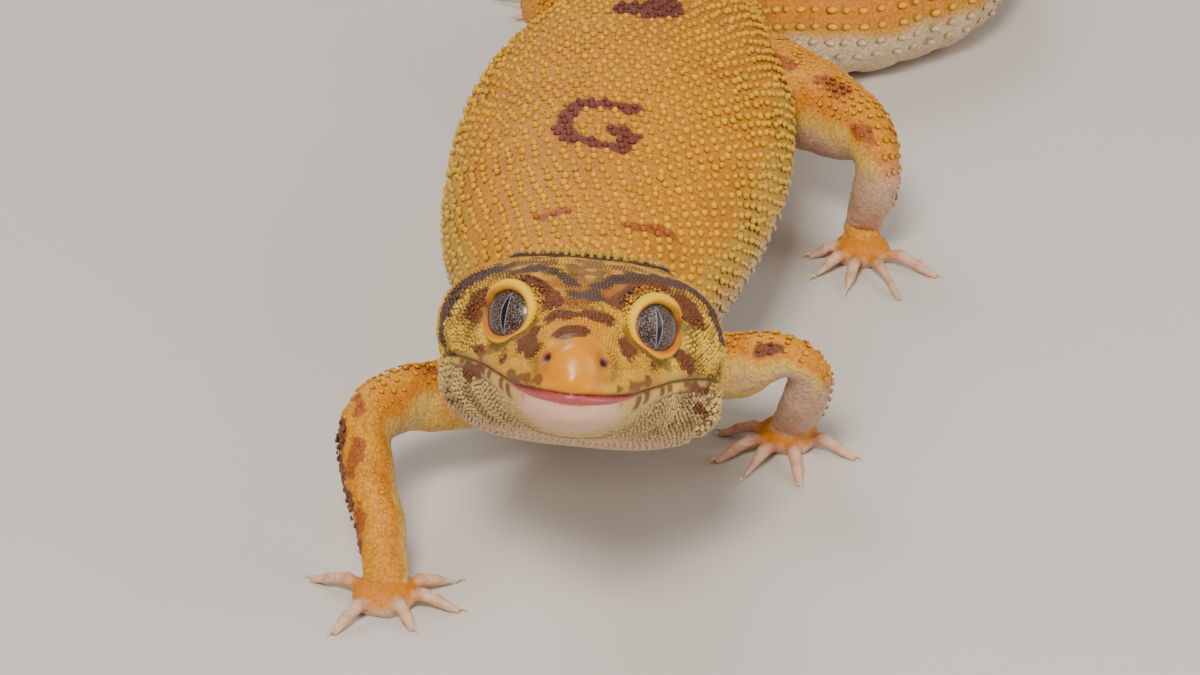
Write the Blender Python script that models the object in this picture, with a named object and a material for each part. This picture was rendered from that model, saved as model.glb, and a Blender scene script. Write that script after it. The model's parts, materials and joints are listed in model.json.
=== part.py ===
"""Leopard gecko, life size: a still model that stands with its head raised.

The snout points towards -Y and the tail trails to +X. The body is lofted along one spine,
from the lips to the tip of the tail, and parted there into its nodes by thin gaps.
"""
import math

import bpy
import numpy as np
from mathutils import Matrix, Vector

MM = 0.001
GAP = 0.3 * MM                 # room between two neighbouring pieces
SOLE_SINK = 0.25 * MM          # how much of a round underside is planed off where it rests

# The spine's own frame starts at the front tip of the mouth line, before all is centred.
HEAD_TIP = np.array([-0.7, -19.3, 31.3]) * MM
HEAD_YAW = math.radians(1.8)       # the snout turns towards -X
HEAD_PITCH = math.radians(22.5)    # the snout is lifted
HEAD_ROLL = math.radians(4.7)      # the gecko's left side is the lower one
HEAD_LENGTH = 26.0 * MM            # the straight, rigid stretch of the spine
ROLL_FADES = 46.0 * MM             # station at which the roll has gone
NECK_STATION = 29.5 * MM
CHEST_STATION = 39.0 * MM
LOIN_STATION = 84.0 * MM
VENT_STATION = 122.0 * MM
TAIL_STATIONS = [VENT_STATION, 143.0 * MM, 164.0 * MM, 186.0 * MM]
JAW_HINGE = 23.5 * MM              # the lower jaw ends here, behind the corner of the mouth

# Centres of the spine behind the head: x, y, z in mm.
SPINE = [
    (0.8, 14.5, 18.6),      # neck
    (0.7, 24.0, 16.6),      # shoulders
    (1.7, 42.0, 15.2),      # chest
    (3.3, 54.0, 15.0),
    (4.6, 66.0, 14.9),      # belly
    (6.2, 78.0, 14.6),
    (8.6, 88.0, 14.2),      # hips
    (11.4, 97.0, 12.9),
    (15.8, 105.0, 10.6),    # vent
    (22.8, 111.6, 8.6),
    (31.0, 117.0, 7.4),     # fat of the tail
    (39.2, 123.8, 7.0),
    (44.2, 134.0, 6.2),
    (46.2, 146.4, 4.8),
    (45.0, 159.4, 3.0),
    (40.8, 170.6, 1.4),
    (37.0, 176.6, 0.5),     # tip
]

# Outline of the body: station, half-width, height above and depth below the spine, in mm,
# then how much narrower the crown is than the cheeks, and how square the cross-section is.
BODY = [
    (0.0, 1.2, 1.6, 0.5, 0.20, 2.1),
    (0.6, 2.5, 3.2, 1.5, 0.28, 2.1),
    (1.6, 3.6, 4.2, 2.6, 0.32, 2.1),
    (3.0, 4.7, 4.9, 3.4, 0.36, 2.1),
    (5.0, 5.8, 5.6, 4.1, 0.38, 2.05),
    (8.0, 7.2, 6.6, 4.9, 0.38, 2.05),
    (11.0, 8.5, 7.9, 5.4, 0.34, 2.1),
    (14.0, 9.9, 9.0, 6.1, 0.20, 2.3),
    (17.0, 11.5, 9.7, 6.7, 0.06, 2.6),
    (20.0, 12.6, 9.9, 7.2, 0.0, 2.9),
    (23.0, 12.4, 9.7, 7.5, 0.0, 2.8),
    (26.0, 11.2, 9.0, 7.5, 0.04, 2.5),
    (29.5, 9.3, 8.2, 7.3, 0.10, 2.3),
    (34.0, 8.3, 7.7, 7.1, 0.08, 2.2),
    (39.0, 9.0, 7.9, 7.6, 0.05, 2.2),
    (46.0, 11.4, 8.7, 8.4, 0.0, 2.2),
    (54.0, 13.6, 9.5, 9.1, 0.0, 2.15),
    (64.0, 15.7, 10.3, 9.6, 0.0, 2.15),
    (76.0, 17.0, 10.7, 9.7, 0.0, 2.15),
    (88.0, 17.1, 10.5, 9.5, 0.0, 2.15),
    (98.0, 16.1, 9.9, 9.1, 0.0, 2.15),
    (106.0, 13.8, 9.2, 8.5, 0.0, 2.15),
    (114.0, 10.8, 8.4, 7.8, 0.0, 2.1),
    (122.0, 8.0, 7.3, 7.0, 0.0, 2.1),
    (129.0, 6.4, 6.5, 6.4, 0.0, 2.1),
    (135.0, 6.5, 6.6, 6.6, 0.0, 2.1),
    (143.0, 8.0, 7.2, 7.4, 0.0, 2.1),
    (152.0, 8.7, 7.3, 7.6, 0.0, 2.1),
    (162.0, 8.2, 7.0, 7.2, 0.0, 2.1),
    (173.0, 6.8, 6.2, 6.4, 0.0, 2.1),
    (184.0, 5.1, 4.9, 5.1, 0.0, 2.1),
    (195.0, 3.3, 3.3, 3.5, 0.0, 2.1),
    (205.0, 1.9, 1.9, 2.1, 0.0, 2.1),
    (213.0, 0.9, 0.9, 1.1, 0.0, 2.1),
    (216.0, 0.5, 0.5, 0.6, 0.0, 2.1),
]
BODY_END = 216.0 * MM
SIDES_BODY = 30
SIDES_TAIL = 20

# Eyes, in head terms: sideways, back from the tip, up from the mouth line, in mm.
EYE_OPENING = (6.4, 11.8, 5.2)
EYE_RADIUS = 3.0 * MM
EYE_DEPTH = 1.7 * MM           # from the middle of the lids' opening to the ball's centre
LID_RADIUS = 3.75 * MM         # the lids stand out round the eye as part of a ball
LID_OPENING = (2.45 * MM, 2.1 * MM)
EYE_OUTWARD = math.radians(47)
EYE_UPWARD = math.radians(12)

# Limbs: centres of the limb in mm (x, y, z), with its half-width and half-height there.
LEGS = {
    "foreleg_right": {
        "path": [
            (-5.0, 24.0, 11.6, 3.8, 4.4), (-11.3, 20.4, 9.8, 3.2, 3.6),
            (-16.9, 15.4, 11.6, 2.9, 3.2), (-19.7, 11.2, 11.2, 2.7, 2.8),
            (-19.4, 6.8, 9.0, 2.6, 2.8), (-18.2, 2.6, 5.7, 2.3, 2.4),
            (-17.7, 0.2, 3.3, 2.2, 1.8), (-17.8, -1.4, 1.7, 2.1, 1.2),
        ],
        "elbow": 3, "wrist": 6,
        "toes": [(-11.2, 2.0), (-10.9, -3.0), (-14.9, -6.3), (-22.2, -6.9), (-24.7, 2.5)],
    },
    "foreleg_left": {
        "path": [
            (6.6, 24.0, 11.8, 3.8, 4.4), (13.4, 22.8, 11.2, 3.1, 3.4),
            (17.0, 21.4, 12.9, 2.7, 2.7), (19.4, 20.7, 13.4, 2.5, 2.2),
            (20.9, 20.7, 12.3, 2.4, 2.0), (21.4, 21.5, 10.2, 2.3, 2.1),
            (21.0, 24.0, 6.6, 2.3, 2.2), (20.2, 26.8, 3.2, 2.1, 1.7),
            (19.8, 28.0, 1.7, 2.0, 1.2),
        ],
        "elbow": 4, "wrist": 7,
        "toes": [(13.2, 29.6), (12.6, 24.0), (15.0, 20.2), (20.6, 19.4), (26.2, 24.6)],
    },
    "hindleg_left": {
        "path": [
            (14.0, 89.0, 13.0, 5.4, 5.6), (21.0, 82.6, 12.4, 5.3, 5.2),
            (26.0, 75.0, 13.1, 4.6, 4.4), (28.6, 70.4, 13.5, 3.6, 3.5),
            (30.0, 67.6, 12.9, 3.0, 2.8), (30.5, 66.2, 10.9, 2.8, 2.5),
            (30.2, 66.6, 8.3, 2.7, 2.6), (29.6, 68.4, 5.2, 2.3, 2.2),
            (29.3, 68.8, 3.2, 2.1, 1.6), (29.1, 67.6, 1.8, 2.0, 1.2),
        ],
        "elbow": 4, "wrist": 7.6,
        "toes": [(23.6, 67.4), (23.8, 62.4), (27.0, 58.8), (32.6, 57.6), (36.8, 62.8)],
    },
    "hindleg_right": {
        "path": [
            (3.6, 91.5, 13.2, 5.4, 5.6), (-0.2, 98.5, 12.8, 5.0, 5.1),
            (-2.8, 105.6, 12.4, 4.3, 4.4), (-3.4, 112.6, 10.9, 3.6, 3.7),
            (-2.8, 119.4, 8.0, 3.1, 3.2), (-1.8, 125.8, 5.2, 2.6, 2.6),
            (-1.2, 130.0, 3.3, 2.3, 1.8), (-1.4, 131.6, 1.8, 2.1, 1.3),
        ],
        "elbow": 3, "wrist": 5.6,
        "toes": [(1.6, 138.2), (-3.0, 140.4), (-8.0, 139.4), (-11.2, 135.4), (-8.4, 129.8)],
    },
}
RINGS_PER_LIMB_PIECE = 6
SIDES_LIMB = 12
PALM_RADIUS = 3.0 * MM
PALM_HEIGHT = 1.3 * MM
SIDES_TOE = 8
RINGS_TOE = 7
TOE_RADIUS = 0.75 * MM
TOE_TIP_RADIUS = 0.3 * MM
TOE_KNUCKLE = 0.9 * MM         # how high a toe arches

# Materials: colour, roughness, metallic.
ORANGE = (0.62, 0.30, 0.05, 1.0)
YELLOW = (0.66, 0.40, 0.09, 1.0)
PALE = (0.62, 0.50, 0.36, 1.0)
EYE_GREY = (0.12, 0.08, 0.075, 1.0)
SKIN_ROUGHNESS = 0.55
EYE_ROUGHNESS = 0.08


def clear_scene():
    """Remove what the file opened with."""
    for found in list(bpy.data.objects):
        bpy.data.objects.remove(found, do_unlink=True)


def material(name, colour, roughness):
    """A Principled material of one colour."""
    made = bpy.data.materials.new(name)
    made.use_nodes = True
    shader = made.node_tree.nodes["Principled BSDF"]
    shader.inputs["Base Color"].default_value = colour
    shader.inputs["Roughness"].default_value = roughness
    shader.inputs["Metallic"].default_value = 0.0
    return made


def smooth(keys, values, at, slopes=None):
    """Values read at `at`, on a cubic that passes through every key."""
    keys = np.asarray(keys, float)
    values = np.asarray(values, float)
    at = np.atleast_1d(np.asarray(at, float))
    if slopes is None:
        slopes = np.gradient(values, keys, axis=0)
    span = np.clip(np.searchsorted(keys, at, side="right") - 1, 0, len(keys) - 2)
    width = keys[span + 1] - keys[span]
    t = (at - keys[span]) / width
    if values.ndim > 1:
        t = t[:, None]
        width = width[:, None]
    start, end = values[span], values[span + 1]
    rise, fall = slopes[span] * width, slopes[span + 1] * width
    return ((2 * t**3 - 3 * t**2 + 1) * start + (t**3 - 2 * t**2 + t) * rise
            + (3 * t**2 - 2 * t**3) * end + (t**3 - t**2) * fall)


def unit(vectors):
    """Vectors scaled to length one."""
    return vectors / np.linalg.norm(vectors, axis=-1, keepdims=True)


def head_axes():
    """The head's own directions: sideways (to its left), back, and up."""
    back = np.array([math.sin(HEAD_YAW) * math.cos(HEAD_PITCH),
                     math.cos(HEAD_YAW) * math.cos(HEAD_PITCH), -math.sin(HEAD_PITCH)])
    side = unit(np.cross(back, (0.0, 0.0, 1.0)))
    up = np.cross(side, back)
    turn_c, turn_s = math.cos(HEAD_ROLL), math.sin(HEAD_ROLL)
    return side * turn_c - up * turn_s, back, up * turn_c + side * turn_s


def head_point(sideways, back, up):
    """A place in the head's own terms, in metres."""
    axes = head_axes()
    return HEAD_TIP + axes[0] * sideways + axes[1] * back + axes[2] * up


def spine_keys():
    """Stations, points and slopes of the spine, the head's straight stretch included."""
    _, back, _ = head_axes()
    head = [HEAD_TIP + back * HEAD_LENGTH * part for part in (0.0, 0.5, 1.0)]
    points = np.array(head + [np.array(point) * MM for point in SPINE])
    steps = np.linalg.norm(np.diff(points, axis=0), axis=1)
    stations = np.concatenate([[0.0], np.cumsum(steps)])
    slopes = np.gradient(points, stations, axis=0)
    slopes[:len(head)] = back
    return stations, points, slopes


def outline(stations):
    """Half-width, height above and depth below the spine at the stations, crown, squareness."""
    table = np.array(BODY)
    read = smooth(table[:, 0] * MM, table[:, 1:], stations)
    return read[:, :3] * MM, read[:, 3:4], read[:, 4:5]


def body_frames(stations):
    """Centres and the sideways and up directions of the body's cross-sections."""
    keys, points, slopes = spine_keys()
    stretch = (keys[-1] - HEAD_LENGTH) / (BODY_END - HEAD_LENGTH)
    along = np.where(stations < HEAD_LENGTH, stations,
                     HEAD_LENGTH + (stations - HEAD_LENGTH) * stretch)
    centres = smooth(keys, points, along, slopes)
    step = 0.2 * MM
    ahead = smooth(keys, points, np.minimum(along + step, keys[-1]), slopes)
    behind = smooth(keys, points, np.maximum(along - step, 0.0), slopes)
    tangents = unit(ahead - behind)
    side = unit(np.cross(tangents, (0.0, 0.0, 1.0)))
    up = np.cross(side, tangents)
    fade = np.clip((ROLL_FADES - stations) / (ROLL_FADES - HEAD_LENGTH), 0.0, 1.0)
    roll = (HEAD_ROLL * fade * fade * (3 - 2 * fade))[:, None]
    side, up = side * np.cos(roll) - up * np.sin(roll), up * np.cos(roll) + side * np.sin(roll)
    depth = outline(stations)[0][:, 2]
    resting = stations > VENT_STATION
    centres[resting, 2] = np.maximum(centres[resting, 2], depth[resting] - SOLE_SINK)
    return centres, side, up


def body_rings(stations, sides, grow=0.0):
    """Rounded rings of the body at the stations, wider all round by `grow`."""
    stations = np.asarray(stations, float)
    centres, side, up = body_frames(stations)
    sizes, crown, squareness = outline(stations)
    sizes = sizes + grow
    turn = np.linspace(0.0, 2 * math.pi, sides, endpoint=False)[None, :]
    across = np.sign(np.cos(turn)) * np.abs(np.cos(turn)) ** (2.0 / squareness)
    over = np.sign(np.sin(turn)) * np.abs(np.sin(turn)) ** (2.0 / squareness)
    narrowing = 1.0 - crown * np.clip(over, 0.0, 1.0) ** 1.5
    reach = np.where(over > 0, sizes[:, 1:2], sizes[:, 2:3])
    rings = (centres[:, None] + side[:, None] * (across * narrowing * sizes[:, 0:1])[..., None]
             + up[:, None] * (over * reach)[..., None])
    rings[..., 2] = np.maximum(rings[..., 2], -grow)
    return rings


def loft(name, rings, made_of):
    """A closed solid through rings of equal count, with flat ends."""
    count, sides = rings.shape[:2]
    faces = [(ring * sides + i, ring * sides + (i + 1) % sides,
              (ring + 1) * sides + (i + 1) % sides, (ring + 1) * sides + i)
             for ring in range(count - 1) for i in range(sides)]
    faces.append(tuple(range(sides))[::-1])
    faces.append(tuple(range((count - 1) * sides, count * sides)))
    mesh = bpy.data.meshes.new(name)
    mesh.from_pydata([tuple(point) for point in rings.reshape(-1, 3)], [], faces)
    if enclosed_volume(mesh) < 0:
        mesh.flip_normals()
    mesh.shade_smooth()
    mesh.set_sharp_from_angle(angle=math.radians(40))
    made = bpy.data.objects.new(name, mesh)
    bpy.context.collection.objects.link(made)
    if made_of is not None:
        mesh.materials.append(made_of)
    return made


def enclosed_volume(mesh):
    """Signed volume, which is below zero where the faces point inwards."""
    mesh.calc_loop_triangles()
    total = 0.0
    for triangle in mesh.loop_triangles:
        a, b, c = (mesh.vertices[i].co for i in triangle.vertices)
        total += a.dot(b.cross(c))
    return total


def as_helper(made):
    """Mark an object as a cutter or a shape to be joined on."""
    made.hide_render = True
    made.display_type = "WIRE"
    return made


def combine(target, other, operation):
    """Cut `other` from the target or join it on."""
    change = target.modifiers.new(other.name, "BOOLEAN")
    change.object = other
    change.operation = operation
    change.solver = "EXACT"


def stations_between(start, end, pitch):
    """Evenly spread stations with half a gap left free at both ends."""
    first, last = start + GAP / 2, end - GAP / 2
    return np.linspace(first, last, max(2, round((last - first) / pitch) + 1))


def build_head(skin, eye_finish):
    """The head with its eye sockets, the lower jaw and the two eyes."""
    stations = np.array([0.15, 0.8, 1.8, 3.2, 5.0, 7.5, 10.0, 12.5, 15.0, 17.5, 20.0, 22.5,
                         25.0, 27.2]) * MM
    stations = np.append(stations, NECK_STATION - GAP / 2)
    head = loft("head", body_rings(stations, SIDES_BODY), skin)
    jaw = loft("lower_jaw", jaw_rings(stations[1:] - 0.25 * MM), skin)
    corner = [head_point(x, y, z) for y in (-3 * MM, JAW_HINGE + GAP / 2)
              for x, z in ((-20 * MM, -12 * MM), (20 * MM, -12 * MM),
                           (20 * MM, GAP / 2), (-20 * MM, GAP / 2))]
    room = as_helper(loft("room_for_jaw", np.array(corner).reshape(2, 4, 3), None))
    combine(head, room, "DIFFERENCE")
    for side, name in ((1, "left"), (-1, "right")):
        look, centre = eye_place(side)
        ball(f"eye_{name}", centre, EYE_RADIUS, eye_finish)
        combine(head, as_helper(ball(f"lids_{name}", centre, LID_RADIUS, None)), "UNION")
        combine(head, as_helper(ball(f"socket_{name}", centre, EYE_RADIUS + GAP, None)),
                "DIFFERENCE")
        combine(head, lid_opening(f"opening_{name}", centre, look), "DIFFERENCE")
    return head, jaw


def eye_place(side):
    """Where an eye looks and its ball's centre; `side` is 1 for the left eye, -1 for the right."""
    outward = math.sin(EYE_OUTWARD) * math.cos(EYE_UPWARD)
    forward = math.cos(EYE_OUTWARD) * math.cos(EYE_UPWARD)
    turned = np.array([side * outward, -forward, math.sin(EYE_UPWARD)])
    opening = np.array(EYE_OPENING) * MM * (side, 1, 1)
    return np.array(head_axes()).T @ turned, head_point(*(opening - turned * EYE_DEPTH))


def lid_opening(name, centre, look):
    """A cutter along the line of sight, as wide and high as the lids open."""
    _, _, up = head_axes()
    wide = unit(np.cross(look, up))
    high = np.cross(wide, look)
    turn = np.linspace(0.0, 2 * math.pi, 20, endpoint=False)
    rim = (wide * (np.cos(turn) * LID_OPENING[0])[:, None]
           + high * (np.sin(turn) * LID_OPENING[1])[:, None])
    reach = np.array([1.0, 6.0])[:, None, None] * MM
    return as_helper(loft(name, centre + look * reach + rim, None))


def jaw_rings(stations):
    """Rings of the lower half of the head, closed flat under the mouth line."""
    stations = stations[stations < JAW_HINGE - GAP]
    stations = np.append(stations, JAW_HINGE - GAP / 2)
    half = SIDES_BODY // 2
    rings = body_rings(stations, SIDES_BODY)
    lower = np.roll(rings, -half, axis=1)[:, :half + 1].copy()
    _, _, up = head_axes()
    lower[:, 0] -= up * GAP / 2
    lower[:, -1] -= up * GAP / 2
    return lower


def ball(name, centre, radius, made_of):
    """A sphere."""
    bpy.ops.mesh.primitive_uv_sphere_add(segments=18, ring_count=10, radius=radius,
                                         location=Vector(centre))
    made = bpy.context.object
    made.name = name
    made.data.name = name
    made.data.shade_smooth()
    if made_of is not None:
        made.data.materials.append(made_of)
    return made


def build_body(skin):
    """Neck, trunk and tail, parted along the spine. Gives the pieces of the trunk."""
    loft("neck", body_rings(stations_between(NECK_STATION, CHEST_STATION, 4 * MM), SIDES_BODY),
         skin)
    chest = loft("chest", body_rings(stations_between(CHEST_STATION, LOIN_STATION, 6 * MM),
                                     SIDES_BODY), skin)
    loin = loft("loin", body_rings(stations_between(LOIN_STATION, VENT_STATION, 6 * MM),
                                   SIDES_BODY), skin)
    ends = TAIL_STATIONS[1:] + [BODY_END + GAP / 2]
    for number, (start, end) in enumerate(zip(TAIL_STATIONS, ends), 1):
        loft(f"tail_{number}", body_rings(stations_between(start, end, 5 * MM), SIDES_TAIL), skin)
    return chest, loin


def trunk_cutter():
    """The whole trunk, larger by the gap, to cut the roots of the limbs."""
    stations = np.arange(30.0, 136.0, 3.0) * MM
    return as_helper(loft("trunk_cutter", body_rings(stations, SIDES_BODY, GAP), None))


def limb_rings(path, start, end, count):
    """Rings of a limb between two places of its path, counted in path points."""
    rows = np.array(path) * MM
    places = np.arange(len(rows), dtype=float)
    at = np.linspace(start, end, count)
    rows_at = smooth(places, rows, at)
    ahead = smooth(places, rows[:, :3], np.minimum(at + 0.02, places[-1]))
    behind = smooth(places, rows[:, :3], np.maximum(at - 0.02, 0.0))
    along = unit(ahead - behind)
    wide = unit(np.cross(along, unit(np.array([0.12, 0.35, 1.0]))))
    high = np.cross(wide, along)
    turn = np.linspace(0.0, 2 * math.pi, SIDES_LIMB, endpoint=False)
    return (rows_at[:, None, :3]
            + wide[:, None] * (np.cos(turn) * rows_at[:, 3:4])[..., None]
            + high[:, None] * (np.sin(turn) * rows_at[:, 4:5])[..., None])


def path_step(path, place):
    """How far half a gap is at a place of the path, counted in path points."""
    rows = np.array(path)[:, :3] * MM
    places = np.arange(len(rows), dtype=float)
    pair = smooth(places, rows, [place - 0.05, place + 0.05])
    return 0.1 * (GAP / 2) / np.linalg.norm(pair[1] - pair[0])


def build_leg(name, leg, cutter, skin, foot_skin):
    """Upper and lower piece of a leg, and its foot with five toes."""
    path, bend, wrist = leg["path"], leg["elbow"], leg["wrist"]
    upper = loft(f"{name}_upper", limb_rings(path, 0.0, bend - path_step(path, bend),
                                             RINGS_PER_LIMB_PIECE), skin)
    combine(upper, cutter, "DIFFERENCE")
    loft(f"{name}_lower", limb_rings(path, bend + path_step(path, bend),
                                     wrist - path_step(path, wrist), RINGS_PER_LIMB_PIECE), skin)
    last = len(path) - 1.0
    foot = loft(f"{name}_foot", np.maximum(
        limb_rings(path, wrist + path_step(path, wrist), last, 4), (-1.0, -1.0, 0.0)), foot_skin)
    palm_centre = np.array(path[-1][:3]) * MM
    combine(foot, palm(f"{name}_palm", palm_centre), "UNION")
    for number, tip in enumerate(leg["toes"], 1):
        combine(foot, toe(f"{name}_toe_{number}", palm_centre, tip), "UNION")


def palm(name, centre):
    """The broad, low middle of a foot, planed flat underneath."""
    turn = np.linspace(0.0, 2 * math.pi, SIDES_LIMB, endpoint=False)
    levels = np.array([(0.80, 0.0), (1.0, 0.35), (0.95, 0.7), (0.55, 1.0)])
    rings = np.zeros((len(levels), SIDES_LIMB, 3))
    rings[..., 0] = centre[0] + np.outer(levels[:, 0], np.cos(turn)) * PALM_RADIUS
    rings[..., 1] = centre[1] + np.outer(levels[:, 0], np.sin(turn)) * PALM_RADIUS
    rings[..., 2] = (levels[:, 1] * 2 * PALM_HEIGHT)[:, None]
    return as_helper(loft(name, rings, None))


def toe(name, palm_centre, tip):
    """A toe from inside the palm to its tip, arched and planed flat underneath."""
    tip = np.array([*tip, 0.0]) * MM
    start = np.array([palm_centre[0], palm_centre[1], 0.0])
    along = unit(tip - start)
    wide = np.cross(along, (0.0, 0.0, 1.0))
    part = np.linspace(0.15, 1.0, RINGS_TOE)[:, None]
    radius = TOE_RADIUS * (1 - part**4) + TOE_TIP_RADIUS * part**4
    centres = start + (tip - start) * part
    centres[:, 2:] = radius * 0.8 + TOE_KNUCKLE * np.sin(math.pi * part) ** 2
    turn = np.linspace(0.0, 2 * math.pi, SIDES_TOE, endpoint=False) + math.pi / SIDES_TOE
    rings = (centres[:, None] + wide * (np.cos(turn) * radius)[..., None]
             + np.array((0.0, 0.0, 1.0)) * (np.sin(turn) * radius)[..., None])
    rings[..., 2] = np.maximum(rings[..., 2], 0.0)
    return as_helper(loft(name, rings, None))


def centre_all():
    """Move every object so that the origin is on the floor, under the middle of the box."""
    bpy.context.view_layer.update()
    corners = [made.matrix_world @ Vector(corner) for made in bpy.data.objects
               if not made.hide_render for corner in made.bound_box]
    middle_x = (min(c.x for c in corners) + max(c.x for c in corners)) / 2
    middle_y = (min(c.y for c in corners) + max(c.y for c in corners)) / 2
    shift = Matrix.Translation((-middle_x, -middle_y, 0.0))
    for made in bpy.data.objects:
        made.matrix_world = shift @ made.matrix_world


def main():
    """Build the gecko."""
    clear_scene()
    skin = material("gecko_skin", ORANGE, SKIN_ROUGHNESS)
    head_skin = material("gecko_head_skin", YELLOW, SKIN_ROUGHNESS)
    foot_skin = material("gecko_foot_skin", PALE, SKIN_ROUGHNESS)
    eye_finish = material("gecko_eye", EYE_GREY, EYE_ROUGHNESS)
    build_head(head_skin, eye_finish)
    build_body(skin)
    cutter = trunk_cutter()
    for name, leg in LEGS.items():
        build_leg(name, leg, cutter, skin, foot_skin)
    centre_all()


main()
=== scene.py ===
"""Looks of a life-size leopard gecko: one skin with its scales, lids, eyes and claws.

Shapes are worked out in millimetres along the gecko's own spine, from the lips (station 0) to the
tip of the tail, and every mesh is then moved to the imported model's place, in metres.
"""
from __future__ import annotations

import json
import logging
import math
from dataclasses import dataclass, fields
from enum import Enum
from functools import cached_property

import bpy
import numpy as np
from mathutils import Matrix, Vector

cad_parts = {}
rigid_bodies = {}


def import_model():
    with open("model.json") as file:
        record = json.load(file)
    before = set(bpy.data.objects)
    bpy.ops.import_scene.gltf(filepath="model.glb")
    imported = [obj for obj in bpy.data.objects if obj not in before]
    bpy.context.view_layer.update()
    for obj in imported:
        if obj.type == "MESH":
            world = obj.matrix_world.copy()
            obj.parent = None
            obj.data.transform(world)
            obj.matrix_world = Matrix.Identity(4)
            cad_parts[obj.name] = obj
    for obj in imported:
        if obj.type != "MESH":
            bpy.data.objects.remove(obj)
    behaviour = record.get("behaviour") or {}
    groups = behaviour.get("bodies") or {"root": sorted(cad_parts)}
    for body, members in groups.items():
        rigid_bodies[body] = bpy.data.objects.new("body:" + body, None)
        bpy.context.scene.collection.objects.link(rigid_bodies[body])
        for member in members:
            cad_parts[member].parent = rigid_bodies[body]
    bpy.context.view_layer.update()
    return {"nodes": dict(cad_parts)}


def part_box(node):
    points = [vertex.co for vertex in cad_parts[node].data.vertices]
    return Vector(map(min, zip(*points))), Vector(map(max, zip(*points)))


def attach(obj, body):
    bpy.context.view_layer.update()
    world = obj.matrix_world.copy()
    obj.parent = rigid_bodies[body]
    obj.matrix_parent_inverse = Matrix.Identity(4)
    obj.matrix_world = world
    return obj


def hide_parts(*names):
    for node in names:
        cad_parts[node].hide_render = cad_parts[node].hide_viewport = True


Array = np.ndarray
Point = tuple[float, float, float]
Material = bpy.types.Material
Socket = bpy.types.NodeSocket
MM = 0.001
FULL_TURN = 2 * math.pi
FLOOR_GAP = 0.02
TOE_GAP = 0.03
BODY = "root"
BAKE_MAP = "OFBake"
UP = np.array([0.0, 0.0, 1.0])
log = logging.getLogger("gecko")


# ---- small mathematics

def unit(vectors: Array) -> Array:
    """Vectors scaled to length one."""
    return vectors / np.maximum(np.linalg.norm(vectors, axis=-1, keepdims=True), 1e-12)


def ramp(low: float, high: float, value: Array) -> Array:
    """A soft step: 0 below `low`, 1 above `high`, with level ends."""
    part = np.clip((value - low) / (high - low), 0.0, 1.0)
    return part * part * (3 - 2 * part)


def soft_max(one: Array, other: Array, rounding: float) -> Array:
    """The larger of two values, with a rounded change from one to the other."""
    return (one + other + np.sqrt((one - other) ** 2 + rounding**2)) / 2


def read_curve(keys: Array, values: Array, at: Array, slopes: Array | None = None) -> Array:
    """Values on a cubic that passes through every key.

    Each span is a Hermite cubic of its two end values and end slopes.

    Args:
        keys: Increasing places.
        values: One value or row of values for each key.
        at: Places to read, of any shape.
        slopes: Slopes at the keys, or None to take them from the neighbours.

    Returns:
        The values at `at`, with the values' own last axis if they have one.
    """
    keys, values, at = np.asarray(keys, float), np.asarray(values, float), np.asarray(at, float)
    if slopes is None:
        slopes = np.gradient(values, keys, axis=0)
    span = np.clip(np.searchsorted(keys, at, side="right") - 1, 0, len(keys) - 2)
    width = keys[span + 1] - keys[span]
    t = (at - keys[span]) / width
    if values.ndim > 1:
        t, width = t[..., None], width[..., None]
    rise, fall = slopes[span] * width, slopes[span + 1] * width
    return ((2 * t**3 - 3 * t**2 + 1) * values[span] + (t**3 - 2 * t**2 + t) * rise
            + (3 * t**2 - 2 * t**3) * values[span + 1] + (t**3 - t**2) * fall)


def path_lengths(points: Array) -> Array:
    """Length along a chain of points, from its first to each of them."""
    return np.concatenate([[0.0], np.cumsum(np.linalg.norm(np.diff(points, axis=0), axis=1))])


def even_turns(count: int) -> Array:
    """Angles at even steps round a full turn."""
    return np.linspace(0.0, FULL_TURN, count, endpoint=False)


def distance_to_path(points: Array, path: Array) -> Array:
    """Distance from each point to the nearest place on a chain of straight segments.

    Args:
        points: Places in millimetres.
        path: The chain's corners.

    Returns:
        One distance for each point.
    """
    path = np.asarray(path, float)
    best = np.full(points.shape[:-1], np.inf)
    for start, end in zip(path[:-1], path[1:]):
        along = end - start
        part = np.clip(((points - start) @ along) / (along @ along), 0.0, 1.0)
        best = np.minimum(best, np.linalg.norm(points - start - part[..., None] * along, axis=-1))
    return best


def lattice_noise(points: Array, pitch: float, seed: int = 0) -> Array:
    """Smooth noise from 0 to 1: random values on a cubic lattice, softly blended between.

    Args:
        points: Places in millimetres.
        pitch: Width of one lattice cell in millimetres.
        seed: Which of the endless lattices to use.

    Returns:
        One value for each point.
    """
    scaled = points / pitch + 1000.0
    cell = np.floor(scaled).astype(np.int64)
    part = scaled - cell
    part = part * part * (3 - 2 * part)
    total = np.zeros(points.shape[:-1])
    # A corner's value is a hash of its three whole numbers and the seed.
    for corner in range(8):
        offset = np.array([corner & 1, (corner >> 1) & 1, corner >> 2])
        key = (cell + offset) @ np.array([73856093, 19349663, 83492791]) + seed * 7919
        key = (key ^ (key >> 13)) * 1274126177 & 0x7FFFFFFF
        weight = np.prod(np.where(offset == 1, part, 1 - part), axis=-1)
        total += weight * ((key >> 7) & 0xFFFF) / 0xFFFF
    return total


def srgb(red: int, green: int, blue: int) -> Array:
    """A colour as painters give it, 0 to 255, made linear."""
    value = np.array([red, green, blue]) / 255
    return np.where(value <= 0.04045, value / 12.92, ((value + 0.055) / 1.055) ** 2.4)


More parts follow.
